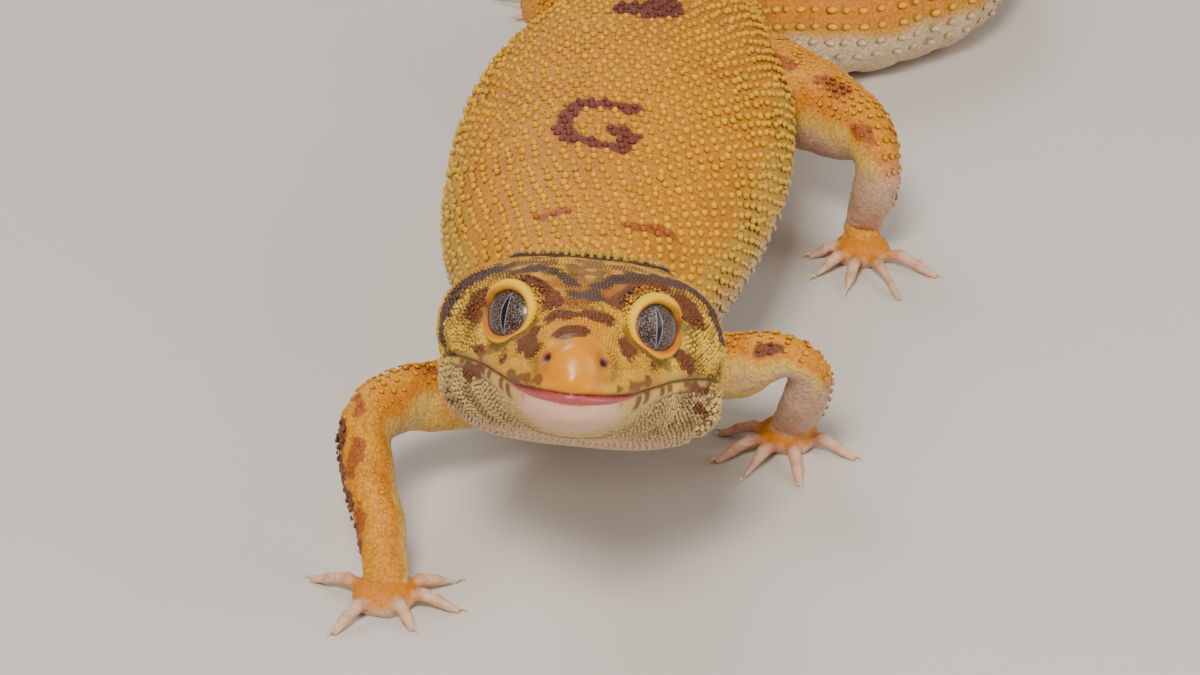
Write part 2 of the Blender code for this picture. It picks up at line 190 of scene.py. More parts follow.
class Tone:
    """The gecko's own colours, and dark tones that are also used as painted shade."""

    SNOUT = srgb(220, 138, 4)
    FACE = srgb(214, 156, 36)
    CHEEK = srgb(224, 182, 58)
    JOWL = srgb(200, 168, 104)
    CHIN = srgb(226, 180, 152)
    THROAT = srgb(206, 172, 136)
    LIP = srgb(176, 84, 84)
    BROWN = srgb(112, 62, 28)
    RUST = srgb(158, 84, 24)
    PURPLE = srgb(92, 66, 54)
    BACK = srgb(194, 122, 8)
    TUBERCLE = srgb(236, 174, 16)
    FLANK = srgb(196, 152, 48)
    BELLY = srgb(214, 186, 150)
    LIMB = srgb(204, 124, 12)
    LILAC = srgb(196, 158, 136)
    TOE = srgb(218, 176, 146)
    KNUCKLE = srgb(196, 116, 76)
    TAIL = srgb(204, 122, 14)
    LID = srgb(242, 192, 0)
    LID_INNER = srgb(222, 118, 6)
    HOOK = srgb(112, 50, 34)
    BLOTCH = srgb(104, 46, 32)
    RUMP = srgb(120, 62, 40)
    IRIS = srgb(104, 76, 68)
    VEIN = srgb(16, 8, 7)
    FLECK = srgb(190, 166, 158)
    SLIT_EDGE = srgb(150, 146, 156)
    # Painted shade of the lids on the iris's edge.
    IRIS_RIM = srgb(22, 15, 14)
    PUPIL = srgb(4, 3, 4)
    HORN = srgb(196, 160, 128)
    HORN_PALE = srgb(236, 214, 190)
    # Dark tone: the nape's own dark band, and painted shade in creases, pits and gaps.
    CRACK = srgb(70, 38, 16)


# ---- the body's surface

@dataclass(frozen=True)
class Spine:
    """The line from the lips to the tip of the tail, and the rounded sections around it, in mm."""

    tip: Point = (-0.7, -19.3, 31.3)
    yaw: float = math.radians(1.8)
    pitch: float = math.radians(22.5)
    roll: float = math.radians(4.7)
    straight: float = 26.0
    roll_fades: float = 46.0
    vent: float = 122.0
    end: float = 216.0
    sole_sink: float = 0.25
    coat_depth: float = 0.16
    points: tuple[Point, ...] = (
        (0.8, 14.5, 18.6), (0.7, 24.0, 16.6), (1.7, 42.0, 15.2), (3.3, 54.0, 15.0),
        (4.6, 66.0, 14.9), (6.2, 78.0, 14.6), (8.6, 88.0, 14.2), (11.4, 97.0, 12.9),
        (15.8, 105.0, 10.6), (22.8, 111.6, 8.6), (31.0, 117.0, 7.4), (39.2, 123.8, 7.0),
        (44.2, 134.0, 6.2), (46.2, 146.4, 4.8), (45.0, 159.4, 3.0), (40.8, 170.6, 1.4),
        (37.0, 176.6, 0.5),
    )
    # Station, half-width, height above, depth below, narrowing of the crown, squareness.
    outline: tuple[tuple[float, ...], ...] = (
        (0.0, 1.2, 1.6, 0.5, 0.20, 2.1), (0.6, 2.5, 3.2, 1.5, 0.28, 2.1),
        (1.6, 3.6, 4.2, 2.6, 0.32, 2.1), (3.0, 4.7, 4.9, 3.4, 0.36, 2.1),
        (5.0, 5.8, 5.6, 4.1, 0.38, 2.05), (8.0, 7.2, 6.6, 4.9, 0.38, 2.05),
        (11.0, 8.5, 7.9, 5.4, 0.34, 2.1), (14.0, 9.9, 9.0, 6.1, 0.20, 2.3),
        (17.0, 11.5, 9.7, 6.7, 0.06, 2.6), (20.0, 12.6, 9.9, 7.2, 0.0, 2.9),
        (23.0, 12.4, 9.7, 7.5, 0.0, 2.8), (26.0, 11.2, 9.0, 7.5, 0.04, 2.5),
        (29.5, 9.3, 8.2, 7.3, 0.10, 2.3), (34.0, 8.3, 7.7, 7.1, 0.08, 2.2),
        (39.0, 9.0, 7.9, 7.6, 0.05, 2.2), (46.0, 11.4, 8.7, 8.4, 0.0, 2.2),
        (54.0, 13.6, 9.5, 9.1, 0.0, 2.15), (64.0, 15.7, 10.3, 9.6, 0.0, 2.15),
        (76.0, 17.0, 10.7, 9.7, 0.0, 2.15), (88.0, 17.1, 10.5, 9.5, 0.0, 2.15),
        (98.0, 16.1, 9.9, 9.1, 0.0, 2.15), (106.0, 13.8, 9.2, 8.5, 0.0, 2.15),
        (114.0, 10.8, 8.4, 7.8, 0.0, 2.1), (122.0, 8.0, 7.3, 7.0, 0.0, 2.1),
        (129.0, 6.4, 6.5, 6.4, 0.0, 2.1), (135.0, 6.5, 6.6, 6.6, 0.0, 2.1),
        (143.0, 8.0, 7.2, 7.4, 0.0, 2.1), (152.0, 8.7, 7.3, 7.6, 0.0, 2.1),
        (162.0, 8.2, 7.0, 7.2, 0.0, 2.1), (173.0, 6.8, 6.2, 6.4, 0.0, 2.1),
        (184.0, 5.1, 4.9, 5.1, 0.0, 2.1), (195.0, 3.3, 3.3, 3.5, 0.0, 2.1),
        (205.0, 1.9, 1.9, 2.1, 0.0, 2.1), (213.0, 0.9, 0.9, 1.1, 0.0, 2.1),
        (216.0, 0.5, 0.5, 0.6, 0.0, 2.1),
    )

    @cached_property
    def axes(self) -> Array:
        """The head's own directions: sideways (to its left), back, and up."""
        back = np.array([math.sin(self.yaw) * math.cos(self.pitch),
                         math.cos(self.yaw) * math.cos(self.pitch), -math.sin(self.pitch)])
        side = unit(np.cross(back, UP))
        up = np.cross(side, back)
        turn_c, turn_s = math.cos(self.roll), math.sin(self.roll)
        return np.array([side * turn_c - up * turn_s, back, up * turn_c + side * turn_s])

    @cached_property
    def keys(self) -> tuple[Array, Array, Array]:
        """Stations, points and slopes of the spine, the head's straight stretch included."""
        back = self.axes[1]
        head = [np.array(self.tip) + back * self.straight * part for part in (0.0, 0.5, 1.0)]
        points = np.array(head + [np.array(point) for point in self.points])
        stations = path_lengths(points)
        slopes = np.gradient(points, stations, axis=0)
        slopes[:len(head)] = back
        return stations, points, slopes

    def sizes(self, stations: Array) -> tuple[Array, ...]:
        """Half-width, height above, depth below, crown narrowing and squareness at stations.

        Args:
            stations: Stations in millimetres.

        Returns:
            Five arrays of the stations' shape.
        """
        table = np.array(self.outline)
        sizes = np.moveaxis(read_curve(table[:, 0], table[:, 1:], np.clip(stations, 0.0, self.end)),
                            -1, 0)
        inset = self.coat_depth * np.minimum(1.0, sizes[:3] / 4.0)
        return *(sizes[:3] - inset), *sizes[3:]

    def frames(self, stations: Array) -> tuple[Array, Array, Array]:
        """Centres and the sideways and up directions of the cross-sections.

        The tangent is a small central difference along the spine; sideways is level and square to
        it, and both turn about it by the head's roll, which fades out along the neck. Behind the
        vent the centre is lifted so that the tail rests on the floor.

        Args:
            stations: Stations in millimetres, of any shape.

        Returns:
            Centres, sideways directions and up directions, each with a last axis of 3.
        """
        keys, points, slopes = self.keys
        stations = np.asarray(stations, float)
        stretch = (keys[-1] - self.straight) / (self.end - self.straight)
        along = np.where(stations < self.straight, stations,
                         self.straight + (stations - self.straight) * stretch)
        centres = read_curve(keys, points, along, slopes)
        tangents = unit(read_curve(keys, points, np.minimum(along + 0.2, keys[-1]), slopes)
                        - read_curve(keys, points, np.maximum(along - 0.2, 0.0), slopes))
        side = unit(np.cross(tangents, UP))
        up = np.cross(side, tangents)
        roll = (self.roll * ramp(self.roll_fades, self.straight, stations))[..., None]
        side, up = side * np.cos(roll) - up * np.sin(roll), up * np.cos(roll) + side * np.sin(roll)
        depth = read_curve(*np.array(self.outline)[:, [0, 3]].T, np.clip(stations, 0, self.end))
        low = np.where(stations > self.vent, depth - self.sole_sink, -np.inf)
        centres[..., 2] = np.maximum(centres[..., 2], low)
        return centres, side, up

    def section(self, stations: Array, turns: Array) -> tuple[Array, Array]:
        """Sideways and up places on the rounded section, by the polar angle.

        The reach at an angle is that of a superellipse whose lower half has its own depth; the
        sideways part then narrows towards the crown.

        Args:
            stations: Stations in millimetres.
            turns: Polar angles, of the same shape.

        Returns:
            Places sideways and up from the centre.
        """
        half, above, below, crown, square = self.sizes(stations)
        cosine, sine = np.cos(turns), np.sin(turns)
        high = np.where(sine > 0, above, below)
        reach = (np.abs(cosine / half) ** square + np.abs(sine / high) ** square) ** (-1 / square)
        narrowing = 1 - crown * np.clip(reach * sine / above, 0.0, 1.0) ** 1.5
        return reach * cosine * narrowing, reach * sine

    def place(self, local: Array) -> Array:
        """Local places (sideways, station, up) as places in the spine's frame."""
        centres, side, up = self.frames(np.clip(local[..., 1], 0.0, self.end))
        back = self.axes[1] * np.minimum(local[..., 1], 0.0)[..., None]
        return centres + side * local[..., 0:1] + up * local[..., 2:3] + back


@dataclass(frozen=True)
class Swell:
    """A rounded rise or pit: its height times exp(-(distance over radii) to a power)."""

    centre: Point
    radii: Point
    height: float
    mirrored: bool = True
    plateau: float = 1.0

    def rise(self, local: Array) -> Array:
        """Height of the rise at local places."""
        across = np.abs(local[..., :1]) if self.mirrored else local[..., :1]
        offset = (np.concatenate([across, local[..., 1:]], -1) - self.centre) / self.radii
        return self.height * np.exp(-(offset**2).sum(-1) ** self.plateau)


@dataclass(frozen=True)
class Ridge:
    """A long rise or crease: its height times exp(-(distance to the path over radius) squared)."""

    path: tuple[Point, ...]
    radius: float
    height: float

    def rise(self, local: Array) -> Array:
        """Height of the rise at local places, the same on both sides."""
        both = np.concatenate([np.abs(local[..., :1]), local[..., 1:]], -1)
        return self.height * np.exp(-(distance_to_path(both, self.path) / self.radius) ** 2)


class Side(Enum):
    """The gecko's own left and right."""

    LEFT = 1
    RIGHT = -1


@dataclass(frozen=True)
class EyePlace:
    """One eye: its ball's centre and the directions round it, in head terms and millimetres."""

    side: Side
    opening: Point = (6.4, 11.8, 5.2)
    depth: float = 1.7
    outward: float = math.radians(47)
    upward: float = math.radians(12)
    gaze_outward: float = math.radians(34)
    gaze_upward: float = math.radians(10)
    radius: float = 3.25
    flatness: float = 2.7
    half_wide: float = 0.97
    half_high: float = 0.79

    def ray(self, outward: float, upward: float) -> Array:
        """A direction in head terms, turned outwards and upwards from straight ahead."""
        return np.array([self.side.value * math.sin(outward) * math.cos(upward),
                         -math.cos(outward) * math.cos(upward), math.sin(upward)])

    @cached_property
    def centre(self) -> Array:
        """The ball's centre in head terms."""
        return np.array(self.opening) * (self.side.value, 1, 1) - self.axes[0] * self.depth

    @cached_property
    def axes(self) -> Array:
        """The middle of the lids' opening as a direction, then towards the outer corner, and up."""
        return self.around(self.ray(self.outward, self.upward))

    @cached_property
    def gaze(self) -> Array:
        """The same three directions for the middle of the pupil."""
        return self.around(self.ray(self.gaze_outward, self.gaze_upward))

    def around(self, look: Array) -> Array:
        """A direction with those across the eye, towards its outer corner, and up."""
        return np.array([look, unit(np.cross(look, UP)) * -self.side.value,
                         unit(UP - look * look[2])])

    def half_angle(self, angle: Array) -> Array:
        """Half the opening of the lids, as seen from the ball's centre, round the eye.

        An ellipse of angles; the outer corner is drawn out, and the upper lid hangs flat over its
        outer half.

        Args:
            angle: Angles round the opening, 0 at the outer corner.

        Returns:
            Half the opening there, in radians.
        """
        keys = np.radians([0, 22, 50, 80, 115, 180, 225, 270, 315, 345, 360])
        reach = [1.12, 0.96, 0.84, 0.89, 0.98, 1.0, 1.02, 1.03, 1.03, 1.05, 1.12]
        squeeze = read_curve(keys, reach, np.mod(angle, FULL_TURN))
        return squeeze / np.hypot(np.cos(angle) / self.half_wide, np.sin(angle) / self.half_high)

    def direction(self, angle: Array, spread: Array) -> Array:
        """Directions from the ball's centre: `spread` is 1 on the lids' edge.

        Args:
            angle: Angles round the opening.
            spread: How far out from its middle.

        Returns:
            Directions in head terms.
        """
        out = (spread * self.half_angle(angle))[..., None]
        look, temporal, high = self.axes
        return (np.cos(out) * look + np.sin(out) * (np.cos(angle)[..., None] * temporal
                                                    + np.sin(angle)[..., None] * high))

    def spread(self, local: Array) -> tuple[Array, Array]:
        """Distance from the centre, and how far out from the opening (1 is the lids' edge).

        Args:
            local: Local places.

        Returns:
            The two measures of each place.
        """
        offset = local - self.centre
        far = np.linalg.norm(offset, axis=-1)
        ahead, across, over = np.moveaxis(unit(offset) @ self.axes.T, -1, 0)
        out = np.arccos(np.clip(ahead, -1.0, 1.0))
        spread = out / self.half_angle(np.arctan2(over, across))
        return far, spread

    def lid_spread(self, local: Array) -> Array:
        """How far out from the opening places near the eye are, and 9 for all others."""
        far, spread = self.spread(local)
        return np.where(far < 1.45 * self.radius, spread, 9.0)

    def ball(self, ray: Array) -> Array:
        """How far the eyeball reaches along a direction: it is flatter towards the front."""
        ahead = ray @ self.axes[0]
        return 1 / np.sqrt((ahead / self.flatness) ** 2 + (1 - ahead**2) / self.radius**2)


@dataclass(frozen=True)
class BodySurface:
    """The skin of head, trunk and tail as a function of row and turn.

    A row is a station in millimetres; rows from -1 to 0 close the front of the lips. A turn is an
    angle round the spine: 0 on the gecko's left, a quarter turn on its back.
    """

    spine: Spine = Spine()
    eyes: tuple[EyePlace, EyePlace] = (EyePlace(Side.LEFT), EyePlace(Side.RIGHT))
    lip_dome: float = 0.35
    mouth_end: float = 19.3
    band_reach: float = 6.3
    band_drop: float = 0.9
    plate: float = 1.55
    rostral_end: float = 3.1
    whorl: float = 4.6
    swells: tuple[Swell, ...] = (
        Swell((0.0, 0.5, 2.7), (2.35, 1.9, 2.0), 0.38, plateau=2.0),        # nose plate
        Swell((0.0, 0.7, -2.0), (2.6, 1.6, 1.1), 0.25, plateau=1.6),        # chin plate
        Swell((3.1, 2.6, 3.3), (0.95, 1.1, 0.85), 0.34),                    # wing of the nostril
        Swell((2.6, 1.7, 2.9), (0.5, 0.75, 0.5), -1.0),                     # nostril
        Swell((4.6, 5.2, 2.2), (1.6, 2.6, 1.2), 0.25),                      # upper lip's cushion
        Swell((5.2, 7.6, 4.6), (1.8, 2.4, 1.8), -0.5),                      # hollow before the eye
        Swell((8.4, 11.0, 2.7), (2.0, 3.2, 1.2), -0.5),                     # hollow below the eye
        Swell((0.0, 11.0, 7.6), (1.9, 5.5, 3.0), -0.55, mirrored=False),    # furrow of the brow
        Swell((0.0, 6.2, 5.6), (1.5, 2.2, 2.0), 0.22, mirrored=False),      # bridge of the snout
        Swell((11.8, 17.6, 2.2), (2.4, 3.4, 2.4), 0.2),                     # cheek
        Swell((0.0, 16.5, -6.6), (7.5, 7.0, 2.0), -0.85, mirrored=False),   # flat of the throat
        Swell((12.0, 20.0, -3.2), (2.4, 3.0, 1.5), 0.3),                    # jowl
        Swell((12.6, 18.0, 0.5), (2.0, 2.6, 0.8), -0.45),                   # fold behind the mouth
        Swell((-13.0, 20.0, -2.6), (3.0, 4.6, 2.4), -0.6, mirrored=False),  # flatter right jowl
        Swell((-12.0, 19.5, 5.2), (3.0, 4.6, 3.4), 0.5, mirrored=False),    # fuller right temple
        Swell((11.2, 25.0, 2.4), (2.4, 0.75, 1.35), -1.9),                  # ear opening
        Swell((11.6, 23.6, 2.2), (2.0, 0.7, 2.2), 0.35),                    # its front rim
    )
    # Brow, edge of the snout, back of the head, then three folds round the jowl.
    ridges: tuple[Ridge, ...] = (
        Ridge(((2.6, 7.8, 6.5), (3.4, 10.6, 7.6), (5.0, 13.6, 8.5), (7.2, 16.0, 8.3)), 0.75, 0.42),
        Ridge(((3.9, 7.6, 5.2), (3.3, 5.4, 4.4), (3.3, 3.8, 4.1)), 0.8, 0.22),
        Ridge(((0.0, 24.3, 9.5), (3.0, 24.3, 9.3), (6.2, 23.8, 8.6)), 1.2, 0.75),
        Ridge(((12.0, 19.0, 0.4), (12.4, 21.0, 0.0), (12.2, 23.0, -0.6)), 0.4, -0.4),
        Ridge(((10.6, 15.5, -1.4), (11.6, 17.6, -1.6), (12.2, 19.6, -1.0)), 0.45, -0.3),
        Ridge(((9.4, 16.0, -5.6), (10.6, 19.6, -5.4), (10.8, 23.6, -4.6)), 0.55, -0.35),
    )

    @cached_property
    def lip_lengths(self) -> tuple[Array, Array]:
        """Rows, and the length of the lips from their middle to each of them."""
        rows = np.linspace(-1.0, 30.0, 621)
        return rows, path_lengths(self.base(rows, np.zeros_like(rows)))

    def base(self, rows: Array, turns: Array) -> Array:
        """Plain local places (sideways, station, up): rounded sections and a domed front.

        Args:
            rows: Rows of the places.
            turns: Turns of the places.

        Returns:
            Local places.
        """
        rows, turns = np.broadcast_arrays(np.asarray(rows, float), np.asarray(turns, float))
        across, over = self.spine.section(np.maximum(rows, 0.0), turns)
        shrink = np.clip(1 + rows, 0.0, 1.0)
        dome = -self.lip_dome * np.sqrt(np.maximum(1 - shrink**2, 0.0))
        return np.stack([across * shrink, np.maximum(rows, 0.0) + dome, over * shrink], -1)

    def facing(self, rows: Array, turns: Array) -> Array:
        """Outward directions of the plain surface, in local terms, by central differences.

        Args:
            rows: Rows of the places.
            turns: Turns of the places.

        Returns:
            Directions of length one.
        """
        near = np.maximum(rows, -0.97)
        along = self.base(near + 0.02, turns) - self.base(near - 0.02, turns)
        around = self.base(near, turns + 0.01) - self.base(near, turns - 0.01)
        return unit(np.cross(along, around))

    def smile(self, station: Array) -> Array:
        """How far the mouth line is above the flat plane of the mouth."""
        return read_curve(np.array([0, 2, 4, 7, 10, 12, 14.5, 16.7, 19, 22, 30.0]),
                          np.array([0, 0, 0.05, 0.3, 0.55, 0.65, 0.68, 0.6, 0.35, 0, 0.0]),
                          np.clip(station, 0.0, 30.0))

    def lip_reach(self, station: Array) -> Array:
        """Height of the lips' plates, which shrink towards the corner of the mouth."""
        return np.interp(station, [0.0, 5.0, 12.0, 18.0], [1.5, 1.35, 0.8, 0.45])

    def band(self, local: Array) -> Array:
        """Depth of the soft pink lip below the mouth line: a parabola, 0 at its two ends."""
        return self.band_drop * np.clip(1 - (local[..., 0] / self.band_reach) ** 2, 0.0, 1.0)

    def lip_marks(self, rows: Array, local: Array) -> tuple[Array, ...]:
        """Places among the lip plates: length along the lips, plate share, windows of both lips.

        Args:
            rows: Rows of the places.
            local: Their plain local places.

        Returns:
            The four measures, each with one value for a place.
        """
        length = np.interp(rows, *self.lip_lengths)
        share = np.mod((length - self.rostral_end) / self.plate, 1.0)
        over = local[..., 2]
        ends = ramp(self.mouth_end, self.mouth_end - 2.0, local[..., 1])
        below = -over - self.band(local)
        reach = self.lip_reach(local[..., 1])
        upper = ramp(0.05, 0.2, over) * ramp(reach, reach - 0.25, over) * ends
        lower = ramp(0.1, 0.25, below) * ramp(reach + 0.1, reach - 0.2, below) * ends
        return length, share, upper, lower

    def rise(self, rows: Array, local: Array) -> Array:
        """How far the skin stands out from the plain surface.

        It is the sum of the swells and ridges of the head, the mouth's groove, the grooves between
        lip plates, folds of the neck, the tail's whorls and a slow unevenness.

        Args:
            rows: Rows of the places.
            local: The plain local places.

        Returns:
            Heights in millimetres, below 0 for creases.
        """
        station, over = local[..., 1], local[..., 2]
        total = 0.22 * (lattice_noise(local, 5.0, 3) - 0.5) * ramp(3.0, 12.0, station)
        total += 0.14 * (lattice_noise(local, 1.6, 4) - 0.5) * ramp(8.0, 16.0, station)
        total *= np.where(over < -6.5, 0.3, 1.0)
        head = np.asarray(station < 34.0)
        part = local[head]
        bumps = sum(swell.rise(part) for swell in self.swells)
        bumps = bumps + sum(ridge.rise(part) for ridge in self.ridges)
        inside = ramp(self.mouth_end + 0.6, self.mouth_end - 1.2, part[..., 1])
        height = part[..., 2]
        bumps -= 0.62 * np.exp(-(height / 0.2) ** 2) * inside                    # mouth line
        bumps += 0.16 * np.exp(-((height - 0.55) / 0.4) ** 2) * inside           # upper lip
        bumps -= 0.16 * ramp(-0.1, -0.3, height) * ramp(-2.6, -1.2, height) * inside
        length, share, upper, lower = self.lip_marks(rows[head], part)
        edge = np.exp(-(np.minimum(share, 1 - share) * self.plate / 0.13) ** 2)
        past = ramp(self.rostral_end - 0.3, self.rostral_end + 0.1, length)
        bumps -= 0.13 * edge * (upper + lower) * past
        drop = self.band(part)
        bumps -= 0.14 * np.exp(-((height + drop + 0.08) / 0.13) ** 2) * (drop > 0.02) * inside
        bumps += 0.1 * np.exp(-((height + drop * 0.55) / (0.35 * drop + 0.08)) ** 2) * inside \
            * (drop > 0.02)
        total[head] += bumps
        for fold, depth in ((30.5, 0.4), (35.5, 0.35), (40.5, 0.2)):
            total -= depth * np.exp(-((station - fold - 0.12 * over) / 0.8) ** 2)
        tail = ramp(124.0, 132.0, station) * ramp(214.0, 196.0, station)
        ring = np.abs(np.mod(station / self.whorl, 1.0) - 0.5) * 2
        total -= 0.42 * np.exp(-((1 - ring) * self.whorl / 1.3) ** 2) * tail
        return total

    def local(self, rows: Array, turns: Array) -> Array:
        """Local places of the finished skin.

        The plain surface plus its rise along the facing, warped up to the smile, then drawn to the
        rim and the inside of each eye's socket.

        Args:
            rows: Rows of the places.
            turns: Turns of the places, of the same shape.

        Returns:
            Places (sideways, station, up) in millimetres.
        """
        rows, turns = np.broadcast_arrays(np.asarray(rows, float), np.asarray(turns, float))
        plain = self.base(rows, turns)
        made = plain + self.facing(rows, turns) * self.rise(rows, plain)[..., None]
        made[..., 2] += self.smile(plain[..., 1]) * np.exp(-(plain[..., 2] / 3.5) ** 2)
        for eye in self.eyes:
            far, spread = eye.spread(made)
            # Least and most distance from the ball's centre, by the distance out from the opening.
            rings = [0.0, 1.0, 1.12, 1.24, 1.36, 1.5, 1.9, 3.2, 3.6]
            low = np.interp(spread, rings, [2.3, 2.35, 2.85, 3.35, 3.52, 3.6, 3.64, 3.5, 0.0])
            high = np.interp(spread, rings, [2.4, 2.45, 2.95, 3.7, 4.9, 9.0, 9.0, 9.0, 9.0])
            held = soft_max(low, -soft_max(-far, -high, 0.3), 0.3)
            reach = far + (held - far) * ramp(5.6, 4.4, far)
            made = eye.centre + unit(made - eye.centre) * reach[..., None]
        return made

    def at(self, rows: Array, turns: Array) -> Array:
        """Places of the finished skin in the spine's frame, never below the floor."""
        placed = self.spine.place(self.local(rows, turns))
        placed[..., 2] = np.maximum(placed[..., 2], FLOOR_GAP)
        return placed

    def normal(self, rows: Array, turns: Array) -> Array:
        """Outward directions of the finished skin, by central differences."""
        along = self.at(rows + 0.12, turns) - self.at(rows - 0.12, turns)
        around = self.at(rows, turns + 0.015) - self.at(rows, turns - 0.015)
        return unit(np.cross(along, around))

    def holds(self, points: Array) -> Array:
        """True for points inside the plain body: within the section of the nearest station.

        Args:
            points: Places in millimetres.

        Returns:
            One truth for each point.
        """
        stations = np.linspace(0.0, self.spine.end, 240)
        centres, side, up = self.spine.frames(stations)
        near = np.linalg.norm(points[:, None] - centres[None], axis=-1).argmin(1)
        offset = points - centres[near]
        across, over = (offset * side[near]).sum(-1), (offset * up[near]).sum(-1)
        half, above, below, _, square = self.spine.sizes(stations[near])
        high = np.where(over > 0, above, below)
        return np.abs(across / half) ** square + np.abs(over / high) ** square < 1.0


# ---- limbs

@dataclass(frozen=True)
class Limb:
    """A leg: its centre line with half-width and half-height, its toes, and its upper side."""

    name: str
    path: tuple[tuple[float, ...], ...]
    toes: tuple[tuple[float, float], ...]
    outer: Point
    pale_from: float
    level: Point = (0.12, 0.35, 1.0)
    coat_depth: float = 0.1

    @cached_property
    def last(self) -> float:
        """The last place of the path, inside the palm."""
        return len(self.path) - 1.0

    @cached_property
    def palm(self) -> Array:
        """The palm's centre on the floor."""
        return np.array([*self.path[-1][:2], 0.0])

    def axis(self, places: Array) -> tuple[Array, ...]:
        """Centres, wide and high directions, half-width and half-height at places of the path.

        Args:
            places: Places along the path, counted in its points.

        Returns:
            The five measures of each place.
        """
        rows = np.array(self.path)
        keys = np.arange(len(rows), dtype=float)
        values = read_curve(keys, rows, places)
        ahead = read_curve(keys, rows[:, :3], np.minimum(places + 0.02, self.last))
        behind = read_curve(keys, rows[:, :3], np.maximum(places - 0.02, 0.0))
        along = unit(ahead - behind)
        wide = unit(np.cross(along, unit(np.array(self.level))))
        return values[..., :3], wide, np.cross(wide, along), values[..., 3], values[..., 4]

    def at(self, places: Array, turns: Array) -> Array:
        """Places on the limb: an ellipse round its centre line, with slow unevenness.

        Args:
            places: Places along the path.
            turns: Turns round it.

        Returns:
            Points in millimetres, never below the floor.
        """
        places, turns = np.broadcast_arrays(np.asarray(places, float), np.asarray(turns, float))
        centre, wide, high, half, tall = self.axis(places)
        rim = (wide * (np.cos(turns) * (half - self.coat_depth))[..., None]
               + high * (np.sin(turns) * (tall - self.coat_depth))[..., None])
        made = centre + rim
        wave = lattice_noise(made, 2.2, 11) - 0.5
        fine = lattice_noise(made, 0.9, 12) - 0.5
        made = made + unit(rim) * (0.3 * wave + 0.12 * fine)[..., None]
        made[..., 2] = np.maximum(made[..., 2], FLOOR_GAP)
        return made

    def normal(self, places: Array, turns: Array) -> Array:
        """Outward directions, by central differences."""
        around = self.at(places, turns + 0.03) - self.at(places, turns - 0.03)
        along = self.at(places + 0.03, turns) - self.at(places - 0.03, turns)
        return unit(np.cross(along, around))

    def toe(self, index: int) -> tuple[Array, Array, Array]:
        """A toe's tip on the floor, its direction, and the direction across it."""
        tip = np.array([*self.toes[index], 0.0])
        along = unit(tip - self.palm)
        return tip, along, np.cross(along, UP)


def gecko_limbs() -> tuple[Limb, ...]:
    """The four legs in the gecko's stance."""
    return (
        Limb("foreleg_right",
             ((-5.0, 24.0, 11.6, 3.8, 4.4), (-11.3, 20.4, 9.8, 3.2, 3.6),
              (-16.9, 15.4, 11.6, 2.9, 3.2), (-19.7, 11.2, 11.2, 2.7, 2.8),
              (-19.4, 6.8, 9.0, 2.6, 2.8), (-18.2, 2.6, 5.7, 2.3, 2.4),
              (-17.7, 0.2, 3.3, 2.2, 1.8), (-17.8, -1.4, 1.7, 2.1, 1.2)),
             ((-11.2, 2.0), (-10.9, -3.0), (-14.9, -6.3), (-22.2, -6.9), (-24.7, 2.5)),
             (-0.75, -0.25, 0.6), 9.0),
        Limb("foreleg_left",
             ((6.6, 24.0, 11.8, 3.8, 4.4), (13.4, 22.8, 11.2, 3.1, 3.4),
              (17.0, 21.4, 12.9, 2.7, 2.7), (19.4, 20.7, 13.4, 2.5, 2.2),
              (20.9, 20.7, 12.3, 2.4, 2.0), (21.4, 21.5, 10.2, 2.3, 2.1),
              (21.0, 24.0, 6.6, 2.3, 2.2), (20.2, 26.8, 3.2, 2.1, 1.7),
              (19.8, 28.0, 1.7, 2.0, 1.2)),
             ((13.2, 29.6), (12.6, 24.0), (15.0, 20.2), (20.6, 19.4), (26.2, 24.6)),
             (0.55, 0.35, 0.75), 4.6),
        Limb("hindleg_left",
             ((14.0, 89.0, 13.0, 5.4, 5.6), (21.0, 82.6, 12.4, 5.3, 5.2),
              (26.0, 75.0, 13.1, 4.6, 4.4), (28.6, 70.4, 13.5, 3.6, 3.5),
              (30.0, 67.6, 12.9, 3.0, 2.8), (30.5, 66.2, 10.9, 2.8, 2.5),
              (30.2, 66.6, 8.3, 2.7, 2.6), (29.6, 68.4, 5.2, 2.3, 2.2),
              (29.3, 68.8, 3.2, 1.7, 2.1), (29.1, 67.6, 1.8, 1.2, 2.0)),
             ((23.6, 67.4), (23.8, 62.4), (27.0, 58.8), (32.6, 57.6), (36.8, 62.8)),
             (0.45, 0.25, 0.85), 4.9, (1.0, 0.0, 0.0)),
        Limb("hindleg_right",
             ((3.6, 91.5, 13.2, 5.4, 5.6), (-0.2, 98.5, 12.8, 5.0, 5.1),
              (-2.8, 105.6, 12.4, 4.3, 4.4), (-3.4, 112.6, 10.9, 3.6, 3.7),
              (-2.8, 119.4, 8.0, 3.1, 3.2), (-1.8, 125.8, 5.2, 2.6, 2.6),
              (-1.2, 130.0, 3.3, 2.3, 1.8), (-1.4, 131.6, 1.8, 2.1, 1.3)),
             ((1.6, 138.2), (-3.0, 140.4), (-8.0, 139.4), (-11.2, 135.4), (-8.4, 129.8)),
             (-0.4, 0.1, 0.9), 9.0),
    )


# ---- colours and markings

@dataclass
class Paint:
    """What each place of a surface looks like.

    `tint` is the ground colour and `mark_tint` that of a marking; `mark` runs from 0 to 1 and has
    its edge at a half. `gloss` is 1 where the skin is wet, and `grain` 0 where it is smooth.
    """

    tint: Array
    mark: Array
    mark_tint: Array
    gloss: Array
    grain: Array

    @staticmethod
    def plain(tint: Array) -> "Paint":
        """Colours alone, without markings, gloss or grain."""
        none = np.zeros(tint.shape[:-1])
        return Paint(tint, none, tint, none, none)


def rows_of(table: Paint | Roots, chosen: Array) -> Paint | Roots:
    """The chosen rows of every field."""
    return type(table)(*(getattr(table, part.name)[chosen] for part in fields(table)))


def join(tables: list[Paint | Roots]) -> Paint | Roots:
    """Several tables of the same class, one after the other."""
    return type(tables[0])(*(np.concatenate([getattr(table, part.name) for table in tables])
                             for part in fields(tables[0])))


